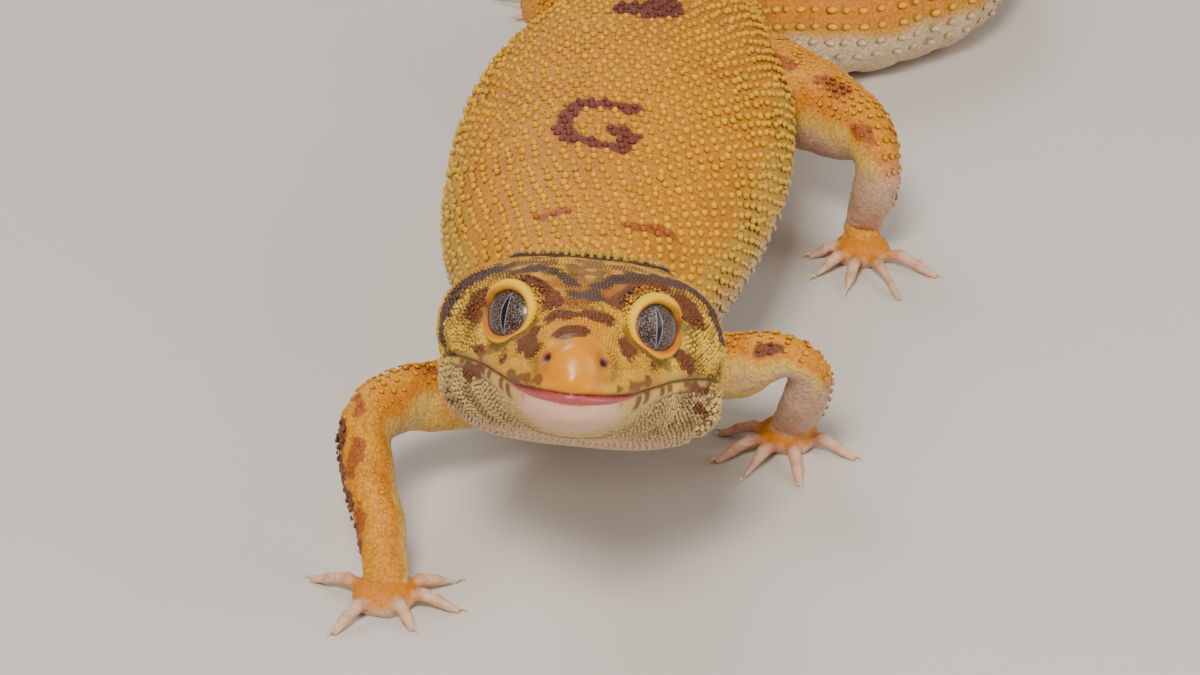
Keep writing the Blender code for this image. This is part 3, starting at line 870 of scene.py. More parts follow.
def lay(ground: Array, colour: Array, cover: Array | float) -> Array:
    """A colour laid over the ground where `cover` is 1."""
    return ground + (colour - ground) * np.asarray(cover)[..., None]


def layers(ground: Array, *coats: tuple[Array, Array]) -> Array:
    """Colours laid over a ground one after the other, each with its own cover."""
    for colour, cover in coats:
        ground = lay(ground, colour, cover)
    return ground


@dataclass(frozen=True)
class Stroke:
    """A marking painted along a path with a round brush.

    `level` weighs differences of height: below 1, a marking runs on down a rounded side.
    """

    path: Array
    brush: float
    tint: Array
    level: float = 1.0


@dataclass(frozen=True)
class Spots:
    """Places of the body's skin, with the measures that their colours depend on."""

    surface: BodySurface
    rows: Array
    turns: Array

    @cached_property
    def plain(self) -> Array:
        """Local places on the plain surface."""
        return self.surface.base(self.rows, self.turns)

    @cached_property
    def points(self) -> Array:
        """Places on the finished skin, in the spine's frame."""
        return self.surface.at(self.rows, self.turns)

    @cached_property
    def socket(self) -> Array:
        """How far out from the nearer eye's opening places are; 9 away from both."""
        local = self.surface.local(self.rows, self.turns)
        return np.minimum(*(eye.lid_spread(local) for eye in self.surface.eyes))

    @cached_property
    def cloud(self) -> Array:
        """Broad unevenness of the colours, from 0 to 1."""
        return self.noise(3.4, 21)

    @cached_property
    def fine(self) -> Array:
        """Fine unevenness of the colours, from 0 to 1."""
        return self.noise(0.8, 22)

    def noise(self, pitch: float, seed: int) -> Array:
        """Smooth noise from 0 to 1 over the skin."""
        return lattice_noise(self.points, pitch, seed)

    def keep(self, chosen: Array) -> "Spots":
        """Only the chosen places."""
        return Spots(self.surface, self.rows[chosen], self.turns[chosen])


@dataclass(frozen=True)
class Markings:
    """All markings, and the ground colours under them."""

    surface: BodySurface
    softness: float = 1.0
    waver: float = 0.9

    @cached_property
    def strokes(self) -> list[Stroke]:
        """All strokes, from brush, tint and points; those of the head are in its own terms."""
        brown, rust, purple = Tone.BROWN, Tone.RUST, Tone.PURPLE
        head = (
            (1.1, brown, (-2.1, 7.9, 5.8), (-0.6, 7.3, 6.0), (2.1, 7.9, 5.7)),
            (1.0, brown, (-1.4, 3.8, 4.8), (0.0, 3.6, 5.1)),
            (0.9, purple, (-0.6, 11.5, 7.2), (0.8, 11.7, 7.3)),
            (0.9, brown, (-5.3, 12.1, 8.2), (-4.0, 12.0, 8.0), (-3.0, 11.3, 7.2),
             (-2.6, 10.0, 6.6)),
            (0.85, brown, (2.9, 11.1, 7.0), (3.4, 11.8, 7.7), (4.2, 14.1, 8.2), (6.2, 16.6, 8.5)),
            (0.75, purple, (-6.5, 16.5, 8.3), (-4.9, 16.4, 8.8), (-3.2, 15.7, 8.9),
             (-1.0, 13.0, 8.1)),
            (0.75, purple, (1.1, 13.1, 8.1), (3.5, 15.3, 8.8), (5.1, 16.9, 9.0), (7.8, 18.4, 8.5)),
            (1.15, Tone.CRACK, (-6.0, 22.2, 9.0), (0.0, 22.9, 9.9), (6.2, 22.2, 9.0)),
            (0.85, purple, (-12.2, 18.4, 1.6), (-12.2, 18.1, 3.3), (-11.1, 18.7, 6.3),
             (-9.9, 18.6, 7.3), (-7.1, 18.0, 8.6)),
            (0.8, purple, (8.5, 18.8, 8.3), (9.9, 19.7, 7.5), (11.2, 19.7, 6.1), (12.2, 19.6, 3.8)),
            (1.2, purple, (-11.8, 25.5, 3.4), (-9.0, 26.0, 6.8), (-3.0, 27.5, 8.8),
             (3.0, 27.5, 8.8), (9.0, 26.0, 6.8), (11.8, 25.5, 3.4)),
            (1.15, brown, (-9.2, 15.7, 5.7), (-9.3, 15.2, 4.3)),
            (1.15, brown, (8.6, 16.9, 7.1), (9.5, 16.6, 5.8)),
            (1.05, brown, (-4.4, 8.4, 4.0), (-4.2, 5.4, 3.5), (-3.7, 3.6, 3.3)),
            (1.0, brown, (4.7, 9.6, 4.6), (4.4, 7.4, 4.0), (4.1, 5.4, 3.5)),
            (0.55, brown, (-6.4, 8.0, 2.1), (-6.3, 7.3, 1.6)),
            (0.55, brown, (-8.8, 13.7, 1.6), (-7.9, 11.8, 1.5)),
            (0.5, brown, (6.6, 9.5, 2.6), (6.6, 8.5, 2.1)),
            (0.8, brown, (8.8, 13.4, 2.7), (9.5, 13.8, 2.0)),
            (0.35, brown, (-5.6, 5.0, 0.6), (-4.4, 2.8, 0.6), (-2.9, 1.2, 0.75)),
            (0.32, brown, (3.9, 2.1, 0.75), (5.2, 4.0, 0.8), (6.4, 6.7, 1.1)),
            (0.7, brown, (-9.5, 14.3, -0.3), (-8.4, 12.0, -0.1)),
            (0.45, brown, (9.8, 14.6, 0.1), (11.2, 17.2, -0.4)),
            (0.5, brown, (10.4, 16.1, -1.9), (11.2, 17.9, -2.2)),
        )
        body = (
            (1.15, Tone.HOOK, (5.1, 50.0, 24.4), (2.3, 50.6, 24.8), (0.3, 51.0, 25.0),
             (-1.6, 49.0, 24.8), (-2.1, 46.0, 24.2), (-1.0, 43.6, 24.0), (1.5, 42.1, 23.8),
             (3.8, 41.1, 23.6), (4.4, 44.2, 24.0), (3.0, 45.0, 24.2)),
            (1.8, Tone.BLOTCH, (4.6, 77.6, 25.0), (6.6, 75.8, 25.2), (8.8, 76.6, 25.0),
             (8.0, 81.4, 25.0)),
            (1.5, Tone.RUMP, (6.2, 98.0, 22.6), (10.0, 101.0, 22.0)),
            (1.0, rust, (4.6, 25.4, 24.0), (8.0, 26.8, 23.6)),
            (0.8, rust, (-3.6, 27.6, 24.0), (-1.6, 28.4, 24.2)),
            (1.1, rust, (26.5, 113.5, 14.6), (30.0, 112.2, 14.4)),
            (1.0, rust, (38.0, 121.0, 14.4), (42.0, 126.0, 13.4)),
            (1.0, rust, (46.0, 140.0, 12.0), (47.5, 144.0, 11.4)),
            (0.5, rust, (-20.5, 12.0, 13.6), (-20.2, 10.0, 13.2)),
            (0.8, rust, (-20.6, 6.6, 11.2), (-20.4, 5.4, 10.0)),
            (0.7, rust, (-20.3, 2.2, 7.8), (-20.0, 1.6, 6.6)),
            (0.95, brown, (-22.5, 10.0, 10.8), (-22.2, 5.0, 8.2), (-20.9, 0.6, 4.6)),
            (0.7, rust, (-14.2, 16.6, 14.4), (-13.4, 17.6, 14.0)),
            (0.8, rust, (12.0, 21.6, 14.4), (13.0, 21.0, 14.2)),
            (0.8, brown, (16.6, 19.2, 14.9), (17.8, 19.0, 15.0)),
            (0.7, rust, (20.0, 22.4, 15.6), (21.4, 22.6, 14.6)),
            (1.0, rust, (20.0, 80.0, 17.0), (21.6, 78.6, 17.2)),
            (1.0, rust, (25.2, 74.4, 17.4), (26.8, 72.6, 17.4)),
            (0.9, rust, (27.6, 66.8, 15.8), (29.2, 66.0, 15.6)),
            (1.1, rust, (-2.0, 103.0, 17.2), (-3.0, 106.0, 16.8)),
            (1.0, brown, (-4.4, 114.0, 14.0), (-4.0, 117.0, 12.6)),
        )
        return [Stroke(self.surface.spine.place(np.array(path)), brush, tint)
                for brush, tint, *path in head] \
            + [Stroke(np.array(path), brush, tint, 0.35) for brush, tint, *path in body]

    def cover(self, points: Array) -> tuple[Array, Array]:
        """The strongest marking at each point, and its tint.

        Args:
            points: Places in millimetres.

        Returns:
            The marking, from 0 to 1, and its colour.
        """
        mark, tint = np.zeros(points.shape[:-1]), np.broadcast_to(Tone.BROWN, points.shape)
        ragged = self.waver * (lattice_noise(points, 1.1, 51) - 0.5)
        ragged += 0.6 * self.waver * (lattice_noise(points, 0.45, 52) - 0.5)
        for stroke in self.strokes:
            flat = np.array([1.0, 1.0, stroke.level])
            gap = distance_to_path(points * flat, stroke.path * flat)
            here = 0.5 + (stroke.brush + ragged - gap) / self.softness
            tint = np.where((here > mark)[..., None], stroke.tint, tint)
            mark = np.maximum(mark, here)
        return np.clip(mark, 0.0, 1.0), tint

    def pebbled(self, spots: Spots) -> Array:
        """Where pebbles stand close, and the skin between them is darkened as painted shade.

        Args:
            spots: Places of the body's skin.

        Returns:
            A share from 0 to 1 for each place.
        """
        _, station, over = spots.plain.T
        far = [np.linalg.norm(spots.plain - eye.centre, axis=-1) for eye in self.surface.eyes]
        reach = self.surface.lip_reach(station)
        lips = ramp(reach + 0.3, reach, np.abs(over)) * ramp(18.5, 17.0, station)
        return ramp(6.0, 10.0, station) * ramp(34.0, 29.0, station) * (1 - lips) \
            * ramp(-6.4, -5.2, over) * ramp(9.0, 8.0, over) * ramp(4.4, 5.4, np.minimum(*far))

    def of_body(self, spots: Spots) -> Paint:
        """Paint of head, trunk and tail: the head's colours run out over the neck.

        Args:
            spots: Places of the body's skin.

        Returns:
            Their paint.
        """
        _, station, over = spots.plain.T
        mark, mark_tint = self.cover(spots.points)
        nose, chin = self.plates(spots)
        head, upper, lower, pink = self.mouth(spots, self.head_tint(spots))
        collar = ramp(36.0, 27.0, station + 3.0 * (spots.cloud - 0.5))
        tint = lay(self.trunk_tint(spots), head, collar)
        # Painted shade: the groove round each eye is darkened.
        tint = lay(tint, Tone.CRACK * 0.5, 0.6 * ramp(1.27, 1.20, spots.socket))

        smooth = np.maximum.reduce([upper, lower, pink, ramp(1.2, 0.9, nose) * (station < 3.4),
                                    ramp(1.2, 0.8, chin) * (station < 4.0) * (over < 0)])
        gloss = np.maximum(pink, 0.75 * ramp(1.1, 0.8, nose) * (station < 3.4)) \
            + 0.25 * np.maximum(upper, lower)
        quiet = (over < -0.3) & (station < 7.0) | (pink > 0.3)
        mark = np.where(quiet, np.minimum(mark, 0.15), mark)
        mark = np.where(spots.socket < 1.22, 0.0, mark)
        mark_tint = lay(mark_tint, Tone.FACE, 0.12 * upper)
        return Paint(tint, mark, mark_tint, np.clip(gloss, 0, 1), 1 - 0.92 * np.clip(smooth, 0, 1))

    def trunk_tint(self, spots: Spots) -> Array:
        """Ground of trunk and tail: orange above, yellow on the flanks, pale below.

        Args:
            spots: Places of the body's skin.

        Returns:
            A colour for each place.
        """
        _, station, over = spots.plain.T
        fine, wide = spots.fine, spots.noise(7.0, 24)
        _, above, below, _, _ = self.surface.spine.sizes(station)
        height = over / np.where(over > 0, above, below) + 0.25 * (spots.cloud - 0.5)
        tail = ramp(118.0, 128.0, station)
        return layers(
            Tone.BACK,
            (Tone.TUBERCLE, 0.45 * spots.cloud * fine),
            (Tone.RUST, 0.4 * ramp(0.5, 0.68, wide) * ramp(0.2, 0.7, fine)),
            (Tone.FLANK, ramp(0.62, 0.25, height)),
            (Tone.BELLY, ramp(0.1, -0.35, height)),
            (Tone.TAIL, tail * ramp(-0.25, 0.3, height)),
            (Tone.BELLY, tail * ramp(0.05, -0.35, height)))

    def plates(self, spots: Spots) -> tuple[Array, Array]:
        """Distances from the middles of the nose and chin plates: about 1 at their edges."""
        across, _, over = spots.plain.T
        nose = np.hypot(across / 2.7, (over - 2.5) / 2.5)
        return nose, np.hypot(across / 5.4, (over + 2.2) / 2.6)

    def head_tint(self, spots: Spots) -> Array:
        """Ground of the head: yellow face, mottled crown, pale jowls and throat, orange nose.

        Args:
            spots: Places of the body's skin.

        Returns:
            A colour for each place.
        """
        across, station, over = spots.plain.T
        aside = np.abs(across)
        blotch, spotted = spots.noise(1.9, 23), spots.noise(1.5, 25)
        nose, chin = self.plates(spots)
        brow = ramp(5.5, 7.0, over) * ramp(7.5, 9.0, station) * ramp(14.5, 12.5, station)
        crown = ramp(6.8, 8.4, over) * ramp(12.0, 15.0, station)
        front = ramp(4.0, 2.2, station)
        # Painted shade: a brown band along each side of the nose block.
        nose_side_shade = np.exp(-((aside - 3.2) / 0.55) ** 2) * ramp(0.7, 1.4, over) * ramp(2.9, 2.3, over)
        return layers(
            Tone.FACE,
            (Tone.CHEEK, ramp(7.0, 14.0, station) * ramp(7.5, 4.5, over)),
            (Tone.SNOUT, 0.75 * ramp(9.0, 6.0, station) * ramp(3.2, 1.6, aside)),
            (Tone.RUST, 0.3 * ramp(0.5, 0.8, spots.cloud) * ramp(5.0, 9.0, station)),
            (Tone.BROWN, 0.4 * ramp(0.55, 0.72, spots.fine) * ramp(9.0, 15.0, station)),
            (Tone.BROWN, 0.38 * ramp(0.58, 0.72, blotch) * ramp(5.0, 10.0, station)
             * ramp(8.5, 6.5, over)),
            (Tone.RUST, 0.75 * brow * ramp(0.25, 0.5, blotch)),
            (Tone.PURPLE, 0.6 * crown * ramp(0.32, 0.6, spots.fine)),
            (Tone.JOWL, ramp(0.2, -1.4, over)),
            (Tone.PURPLE, 0.5 * ramp(0.48, 0.66, spotted) * ramp(0.0, -1.0, over)
             * ramp(9.0, 13.0, station)),
            (Tone.THROAT, ramp(-3.6, -5.6, over)),
            (Tone.CHIN, ramp(1.25, 0.75, chin) * ramp(5.0, 2.5, station) * (over < 0)),
            (Tone.SNOUT, 0.85 * ramp(1.3, 0.75, nose) * front),
            # Darker orange on the nose's sides: partly its own mottling, partly painted shade of
            # the sides.
            (Tone.RUST, 0.65 * ramp(1.2, 2.4, aside) * ramp(1.4, 0.8, nose) * front * (over > 0)
             * ramp(0.2, 0.6, blotch)),
            # Painted shade on the sides of the nose block.
            (Tone.BROWN, 0.55 * nose_side_shade * ramp(4.0, 2.6, station)))

    def mouth(self, spots: Spots, head: Array) -> tuple[Array, Array, Array, Array]:
        """The head's ground with lips, and painted shade at mouth line, ears and nostrils.

        Args:
            spots: The places.
            head: Their ground.

        Returns:
            The ground with the lips, then where the plates of the upper and the lower lip and the
            soft pink lip are.
        """
        across, station, over = spots.plain.T
        aside = np.abs(across)
        surface = self.surface
        length, share, upper, lower = surface.lip_marks(spots.rows, spots.plain)
        number = np.floor((length - surface.rostral_end) / surface.plate)
        dark = np.mod(number * 7 + 3, 3) < 1.5
        past = (length > surface.rostral_end) & (station < 16.0)
        plate = ramp(0.12, 0.28, share) * ramp(0.9, 0.74, share) * past * lower
        drop = surface.band(spots.plain)
        inside = ramp(surface.mouth_end, surface.mouth_end - 1.5, station)
        pink = ramp(0.22, 0.05, over) * ramp(-0.12, 0.0, over + drop) * (drop > 0.02) * inside
        ear = np.exp(-((station - 25.0) / 0.8) ** 2 - ((over - 2.4) / 1.3) ** 2) * (aside > 6)
        nostril = (np.stack([aside, station, over], -1) - (2.6, 1.7, 2.9)) / (0.62, 0.9, 0.6)
        nostril = np.linalg.norm(nostril, axis=-1)
        head = layers(
            head,
            (Tone.BROWN, 0.95 * plate * dark * ramp(3.9, 4.8, aside)),
            (Tone.CHEEK, 0.5 * plate * ~dark * ramp(3.9, 4.8, aside)),
            (Tone.RUST, 0.45 * upper * ramp(3.2, 4.2, aside) * spots.cloud),
            (Tone.LIP, pink),
            # Painted shade along the mouth line.
            (Tone.CRACK * 0.7, np.exp(-(over / 0.16) ** 2) * inside * ramp(0.9, 0.3, drop)),
            # Painted shade in the ear opening.
            (Tone.CRACK * 0.35, ramp(0.3, 0.7, ear)),
            # Painted shade in the nostrils' pits.
            (Tone.LIP * 0.45, ramp(1.15, 0.7, nostril)),
            (Tone.CRACK * 0.25, ramp(0.8, 0.5, nostril)))
        return head, upper, lower, pink

    def of_limb(self, limb: Limb, places: Array, points: Array, normals: Array) -> Paint:
        """Paint of a leg: orange on its outer side, pale inside, and pale towards the toes.

        Args:
            limb: The leg.
            places: Places along its path.
            points: The same places in millimetres.
            normals: Outward directions there.

        Returns:
            Their paint.
        """
        mark, mark_tint = self.cover(points)
        cloud = lattice_noise(points, 2.4, 31)
        outer = normals @ unit(np.array(limb.outer)) + 0.5 * (cloud - 0.5)
        shank = ramp(limb.pale_from - 0.4, limb.pale_from + 0.6, places) \
            * ramp(limb.last - 0.4, limb.last - 1.4, places)
        tint = layers(Tone.LILAC,
                      (Tone.BELLY, 0.5 * cloud),
                      (Tone.CHEEK, 0.8 * ramp(-0.95, -0.45, outer)),
                      (Tone.LIMB, ramp(-0.5, 0.05, outer)),
                      (Tone.TUBERCLE, 0.4 * cloud * ramp(0.0, 0.6, outer)),
                      (Tone.LILAC, 0.9 * shank * ramp(0.75, 0.3, outer)))
        return Paint(tint, mark * ramp(-0.2, 0.2, outer), mark_tint, 0.0 * mark, 0.0 * mark + 1.0)

    def of_foot(self, points: Array, part: Array) -> Paint:
        """Paint of palms (part 0) and toes (part up to 1 at the tip), with darker knuckles.

        Args:
            points: Places in millimetres.
            part: Share of the way along the toe.

        Returns:
            Their paint.
        """
        height, none = points[..., 2], np.zeros(points.shape[:-1])
        rings = (0.5 + 0.5 * np.cos(part * FULL_TURN * 4)) ** 4
        tint = layers(Tone.LIMB,
                      (Tone.TOE, np.maximum(ramp(0.3, 0.55, part), ramp(1.6, 0.5, height))),
                      (Tone.KNUCKLE, 0.5 * rings * ramp(0.2, 0.4, part) * ramp(0.6, 1.2, height)))
        return Paint(tint, none, np.broadcast_to(Tone.RUST, tint.shape), none, none + 0.55)


# ---- meshes

@dataclass
class Net:
    """Points, faces and bake-map places of one mesh under construction, in millimetres."""

    points: Array
    faces: list[Array]
    patches: list[Array]
    paint: Paint | None = None


def grid_faces(rows: int, around: int) -> tuple[Array, Array, Array]:
    """Quads of a grid that closes round its columns, and each corner's row and column."""
    i, j = (index.ravel() for index in np.indices((rows - 1, around)))
    lines, columns = np.stack([i, i + 1, i + 1, i], 1), np.stack([j, j, j + 1, j + 1], 1)
    return lines * around + columns % around, lines, columns


def tube(rings: list[Array], poles: tuple[Array, Array], heights: Array,
         box: tuple[float, float, float, float]) -> Net:
    """A closed tube through rings of points, with a pole at each end.

    Rings may halve their count from one block to the next: there three triangles join each pair of
    fine steps to one coarse step. The bake map is the tube's own unwrap, cut along turn 0.

    Args:
        rings: Blocks of rings, each an array (rings, points, 3).
        poles: The points before the first ring and behind the last one.
        heights: Place of every ring along the unwrap, from 0 to 1.
        box: Corner and size of the unwrap on the bake map.

    Returns:
        The tube's net, without paint.
    """
    u0, v0, width, height = box
    faces, patches, row, base = [], [], 0, 0

    def add(index: Array, columns: Array, lines: Array) -> None:
        """Add faces, with their corners' shares round and along the unwrap."""
        faces.append(index)
        patches.append(np.stack(np.broadcast_arrays(u0 + width * columns, v0 + height * lines), -1))

    for number, block in enumerate(rings):
        count, around = block.shape[:2]
        quads, lines, columns = grid_faces(count, around)
        add(base + quads, columns / around, heights[row + lines])
        row += count
        last, base = base + (count - 1) * around, base + count * around
        if number + 1 < len(rings):
            coarse = rings[number + 1].shape[1]
            k = np.arange(coarse)
            index = np.stack([last + 2 * k, last + 2 * k + 1, last + (2 * k + 2) % around,
                              base + k, base + (k + 1) % coarse], 1)
            share = np.stack([k, k + 0.5, k + 1, k, k + 1], 1) / coarse
            level = np.tile(heights[[row - 1, row - 1, row - 1, row, row]], (coarse, 1))
            fan = [[0, 3, 1], [1, 3, 4], [1, 4, 2]]
            add(*(part[:, fan].swapaxes(0, 1).reshape(-1, 3) for part in (index, share, level)))
    ends = ((base, 0, rings[0].shape[1], (0.0, heights[0], heights[0]), (0, 1)),
            (base + 1, last, rings[-1].shape[1], (1.0, heights[-1], heights[-1]), (1, 0)))
    for pole, ring, around, levels, pair in ends:
        j = np.arange(around)[:, None]
        add(np.column_stack([np.full(around, pole), ring + (j + pair) % around]),
            np.column_stack([j + 0.5, j + pair]) / around, np.array(levels))
    return Net(np.concatenate([block.reshape(-1, 3) for block in rings] + [np.array(poles)]),
               faces, patches)


def ring_normals(rings: Array) -> Array:
    """Outward directions on a block of rings, by differences between neighbours.

    Args:
        rings: An array (rings, points, 3).

    Returns:
        Directions of the same shape.
    """
    around = np.roll(rings, -1, axis=1) - np.roll(rings, 1, axis=1)
    normals = unit(np.cross(around, np.gradient(rings, axis=0)))
    outward = rings - rings.mean(1, keepdims=True)
    return normals * np.sign((normals * outward).sum(-1).mean())


def round_rings(centres: Array, wide: Array, half: Array, tall: Array, count: int) -> Array:
    """Upright rings round centres: half-widths along `wide`, and half-heights, one a row.

    Args:
        centres: One centre a ring.
        wide: The level direction across.
        half: Half-widths.
        tall: Half-heights.
        count: Points on a ring.

    Returns:
        An array (rings, points, 3).
    """
    turn = even_turns(count)
    return (centres[:, None] + wide * (np.cos(turn) * half)[..., None]
            + UP * (np.sin(turn) * tall)[..., None])


def link(name: str, data: bpy.types.ID) -> bpy.types.Object:
    """A new object in the scene."""
    made = bpy.data.objects.new(name, data)
    bpy.context.scene.collection.objects.link(made)
    return made


def read(rows: bpy.types.bpy_prop_collection, name: str, kind: type, width: int) -> Array:
    """One property of all vertices, edges or corners, as rows of an array."""
    flat = np.zeros(len(rows) * width, kind)
    rows.foreach_get(name, flat)
    return flat.reshape(-1, width)


def make_mesh(name: str, points: Array, net: Net) -> bpy.types.Mesh:
    """A smooth mesh of a net's faces on given points, with the net's bake map and paint.

    Args:
        name: The mesh's name.
        points: Places of the net's points.
        net: Faces, bake-map places and paint.

    Returns:
        The mesh.
    """
    made = bpy.data.meshes.new(name)
    counts = np.concatenate([np.full(len(group), group.shape[1]) for group in net.faces])
    corners = np.concatenate([group.ravel() for group in net.faces])
    made.vertices.add(len(points))
    made.vertices.foreach_set("co", points.astype(np.float32).ravel())
    made.loops.add(len(corners))
    made.loops.foreach_set("vertex_index", corners.astype(np.int32))
    made.polygons.add(len(counts))
    starts = np.concatenate([[0], np.cumsum(counts)[:-1]])
    made.polygons.foreach_set("loop_start", starts.astype(np.int32))
    made.update(calc_edges=True)
    made.validate()
    if net.patches:
        put_map(made, BAKE_MAP, np.concatenate([patch.reshape(-1, 2) for patch in net.patches]))
    if net.paint is not None:
        put_paint(made, net.paint)
    made.shade_smooth()
    return made


def put_map(mesh: bpy.types.Mesh, name: str, places: Array) -> None:
    """Store a place for each face corner in a new map."""
    layer = mesh.uv_layers.new(name=name)
    layer.data.foreach_set("uv", places.astype(np.float32).ravel())


@dataclass(frozen=True)
class Placer:
    """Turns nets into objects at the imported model's place."""

    shift: Array

    def to_model(self, points: Array) -> Array:
        """Places in the spine's frame, in mm, as places in the model, in metres."""
        return (points + self.shift) * MM

    def mesh(self, name: str, net: Net) -> bpy.types.Mesh:
        """A mesh of a net at its place in the model."""
        return make_mesh(name, self.to_model(net.points), net)

    def piece(self, name: str, mesh: bpy.types.Mesh, material: Material, slot: str,
              replaced: tuple[str, ...] = ()) -> None:
        """Make an object of the model that rides on its one body.

        Args:
            name: The piece's name.
            mesh: Its mesh, already in place.
            material: Its finish.
            slot: Not used.
            replaced: Nodes that it stands for.
        """
        made = link(name, mesh)
        mesh.materials.clear()
        mesh.materials.append(material)
        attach(made, BODY)
        if replaced:
            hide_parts(*replaced)
        mesh.calc_loop_triangles()
        log.info("%s: %d triangles", name, len(mesh.loop_triangles))


def put_paint(mesh: bpy.types.Mesh, paint: Paint) -> None:
    """Store a paint in a mesh's point attributes.

    Args:
        mesh: The mesh.
        paint: One row for each of its points.
    """
    for name in ("tint", "mark_tint"):
        layer = mesh.attributes.new(name, "FLOAT_COLOR", "POINT")
        colour = np.concatenate([getattr(paint, name), np.ones((len(paint.tint), 1))], 1)
        layer.data.foreach_set("color", colour.astype(np.float32).ravel())
    for name in ("mark", "gloss", "grain"):
        layer = mesh.attributes.new(name, "FLOAT", "POINT")
        layer.data.foreach_set("value", getattr(paint, name).astype(np.float32))


# ---- the one skin

@dataclass(frozen=True)
class Skin:
    """Head, trunk, tail, legs and toes joined into one skin."""

    surface: BodySurface
    limbs: tuple[Limb, ...]
    markings: Markings
    placer: Placer
    fine_around: int = 272
    limb_rings: int = 92
    limb_around: int = 40
    palm_rings: int = 12
    palm_around: int = 36
    palm_radius: float = 2.95
    palm_height: float = 2.5
    toe_rings: int = 20
    toe_around: int = 14
    toe_radius: float = 0.64
    toe_tip: float = 0.3
    knuckle: float = 0.9
    near_palm: float = 7.0
    root_blend: float = 2.6
    toe_blend: float = 0.55
    relaxing: int = 24
    body_box: tuple[float, float, float, float] = (0.005, 0.26, 0.99, 0.735)
    limb_box: tuple[float, float, float, float] = (0.005, 0.085, 0.24, 0.165)

    def turns(self, count: int, rows: Array) -> Array:
        """Turns of the columns: even behind the neck, closer along the lips.

        The share f of a full turn is moved by -c sin(4 pi f), which draws the columns towards turn
        0 and half a turn, where the mouth line runs; c fades out along the neck.

        Args:
            count: Number of columns.
            rows: Rows of the rings.

        Returns:
            An array (rings, columns).
        """
        share = np.linspace(0.0, 1.0, count, endpoint=False)[None]
        draw = 0.25 * ramp(34.0, 20.0, rows)[:, None]
        return FULL_TURN * share - draw * np.sin(2 * FULL_TURN * share)

    def body_net(self) -> Net:
        """Head, trunk and tail, with fewer columns from block to block."""
        # Rings stand closest on the lips, and close together as far as the ears.
        front = np.concatenate([-1 + np.linspace(0.12, 1.0, 9), np.linspace(0.05, 1.4, 16)])
        head = np.concatenate([front, np.linspace(1.55, 14.0, 64), np.linspace(14.22, 30.0, 62)])
        trunk, tail = np.linspace(30.6, 122.0, 118), np.linspace(122.8, 215.8, 122)
        blocks, paints = [], []
        for rows, share in ((head, 1), (trunk, 2), (tail, 4)):
            turns = self.turns(self.fine_around // share, rows)
            spots = Spots(self.surface, np.repeat(rows, turns.shape[1]), turns.ravel())
            blocks.append(spots.points.reshape(*turns.shape, 3))
            paint = self.markings.of_body(spots)
            # Painted shade: the skin between close pebbles is darkened.
            paint.tint = lay(paint.tint, Tone.CRACK, 0.7 * self.markings.pebbled(spots))
            paints.append(paint)
        start = self.surface.at(np.array([-1.0]), np.array([0.0]))[0]
        last, before = blocks[-1][-1], blocks[-1][-2]
        end = last.mean(0) + (last - before).mean(0) * 0.4
        end[2] = max(end[2], 0.1)
        net = tube(blocks, (start, end), self.bake_heights(blocks), self.body_box)
        poles = Spots(self.surface, np.array([-0.99, 215.8]), np.zeros(2))
        net.paint = join(paints + [self.markings.of_body(poles)])
        return net

    def bake_heights(self, blocks: list[Array]) -> Array:
        """Place of each ring on the unwrap: by its step along, counted threefold on the head.

        Args:
            blocks: Blocks of rings from lips to tail.

        Returns:
            One place from 0 to 1 for each ring.
        """
        steps = [0.3]
        for number, block in enumerate(blocks):
            if number:
                steps.append(0.7)
            step = np.linalg.norm(np.diff(block, axis=0), axis=-1).mean(1)
            steps.extend(step * (1.0 if number else 3.0))
        total = np.cumsum(steps)
        return total / (total[-1] + 0.3)

    def limb_net(self, limb: Limb, number: int) -> Net:
        """A leg from inside the trunk to inside its palm.

        Args:
            limb: The leg.
            number: Its number, for its place on the bake map.

        Returns:
            The leg's net, painted.
        """
        places = np.linspace(0.0, limb.last, self.limb_rings)
        rings = limb.at(places[:, None], even_turns(self.limb_around)[None])
        ends = rings[[0, -1]].mean(1)
        u0, v0, width, height = self.limb_box
        net = tube([rings], ends, np.linspace(0.01, 0.99, self.limb_rings),
                   (u0 + number * 0.25, v0, width, height))
        normals = np.append(ring_normals(rings).reshape(-1, 3), [UP, UP], 0)
        along = np.append(np.repeat(places, self.limb_around), [0.0, limb.last])
        net.paint = self.markings.of_limb(limb, along, net.points, normals)
        return net

    def palm_net(self, limb: Limb, number: int) -> Net:
        """A low dome, planed flat underneath: radius by height is a quarter of a rounded box.

        Args:
            limb: The leg.
            number: Its number, for its place on the bake map.

        Returns:
            The palm's net, painted.
        """
        turn, lift = even_turns(self.palm_around), np.linspace(0.0, 1.0, self.palm_rings)
        radius = self.palm_radius * read_curve(np.array([0, 0.2, 0.5, 0.8, 1.0]),
                                               np.array([0.86, 0.99, 0.98, 0.78, 0.45]), lift)
        wave = 1 + 0.05 * np.cos(5 * turn)[None] * (1 - lift[:, None])
        rings = np.zeros((self.palm_rings, self.palm_around, 3)) + limb.palm
        rings[..., 0] += radius[:, None] * wave * np.cos(turn)
        rings[..., 1] -= radius[:, None] * wave * np.sin(turn)
        rings[..., 2] = TOE_GAP + (lift * self.palm_height)[:, None]
        poles = limb.palm + np.array([[0.0, 0.0, TOE_GAP], [0.0, 0.0, self.palm_height + 0.1]])
        net = tube([rings], poles, np.linspace(0.1, 0.9, self.palm_rings),
                   (0.82 + 0.044 * number, 0.01, 0.04, 0.06))
        net.paint = self.markings.of_foot(net.points, np.zeros(len(net.points)))
        return net

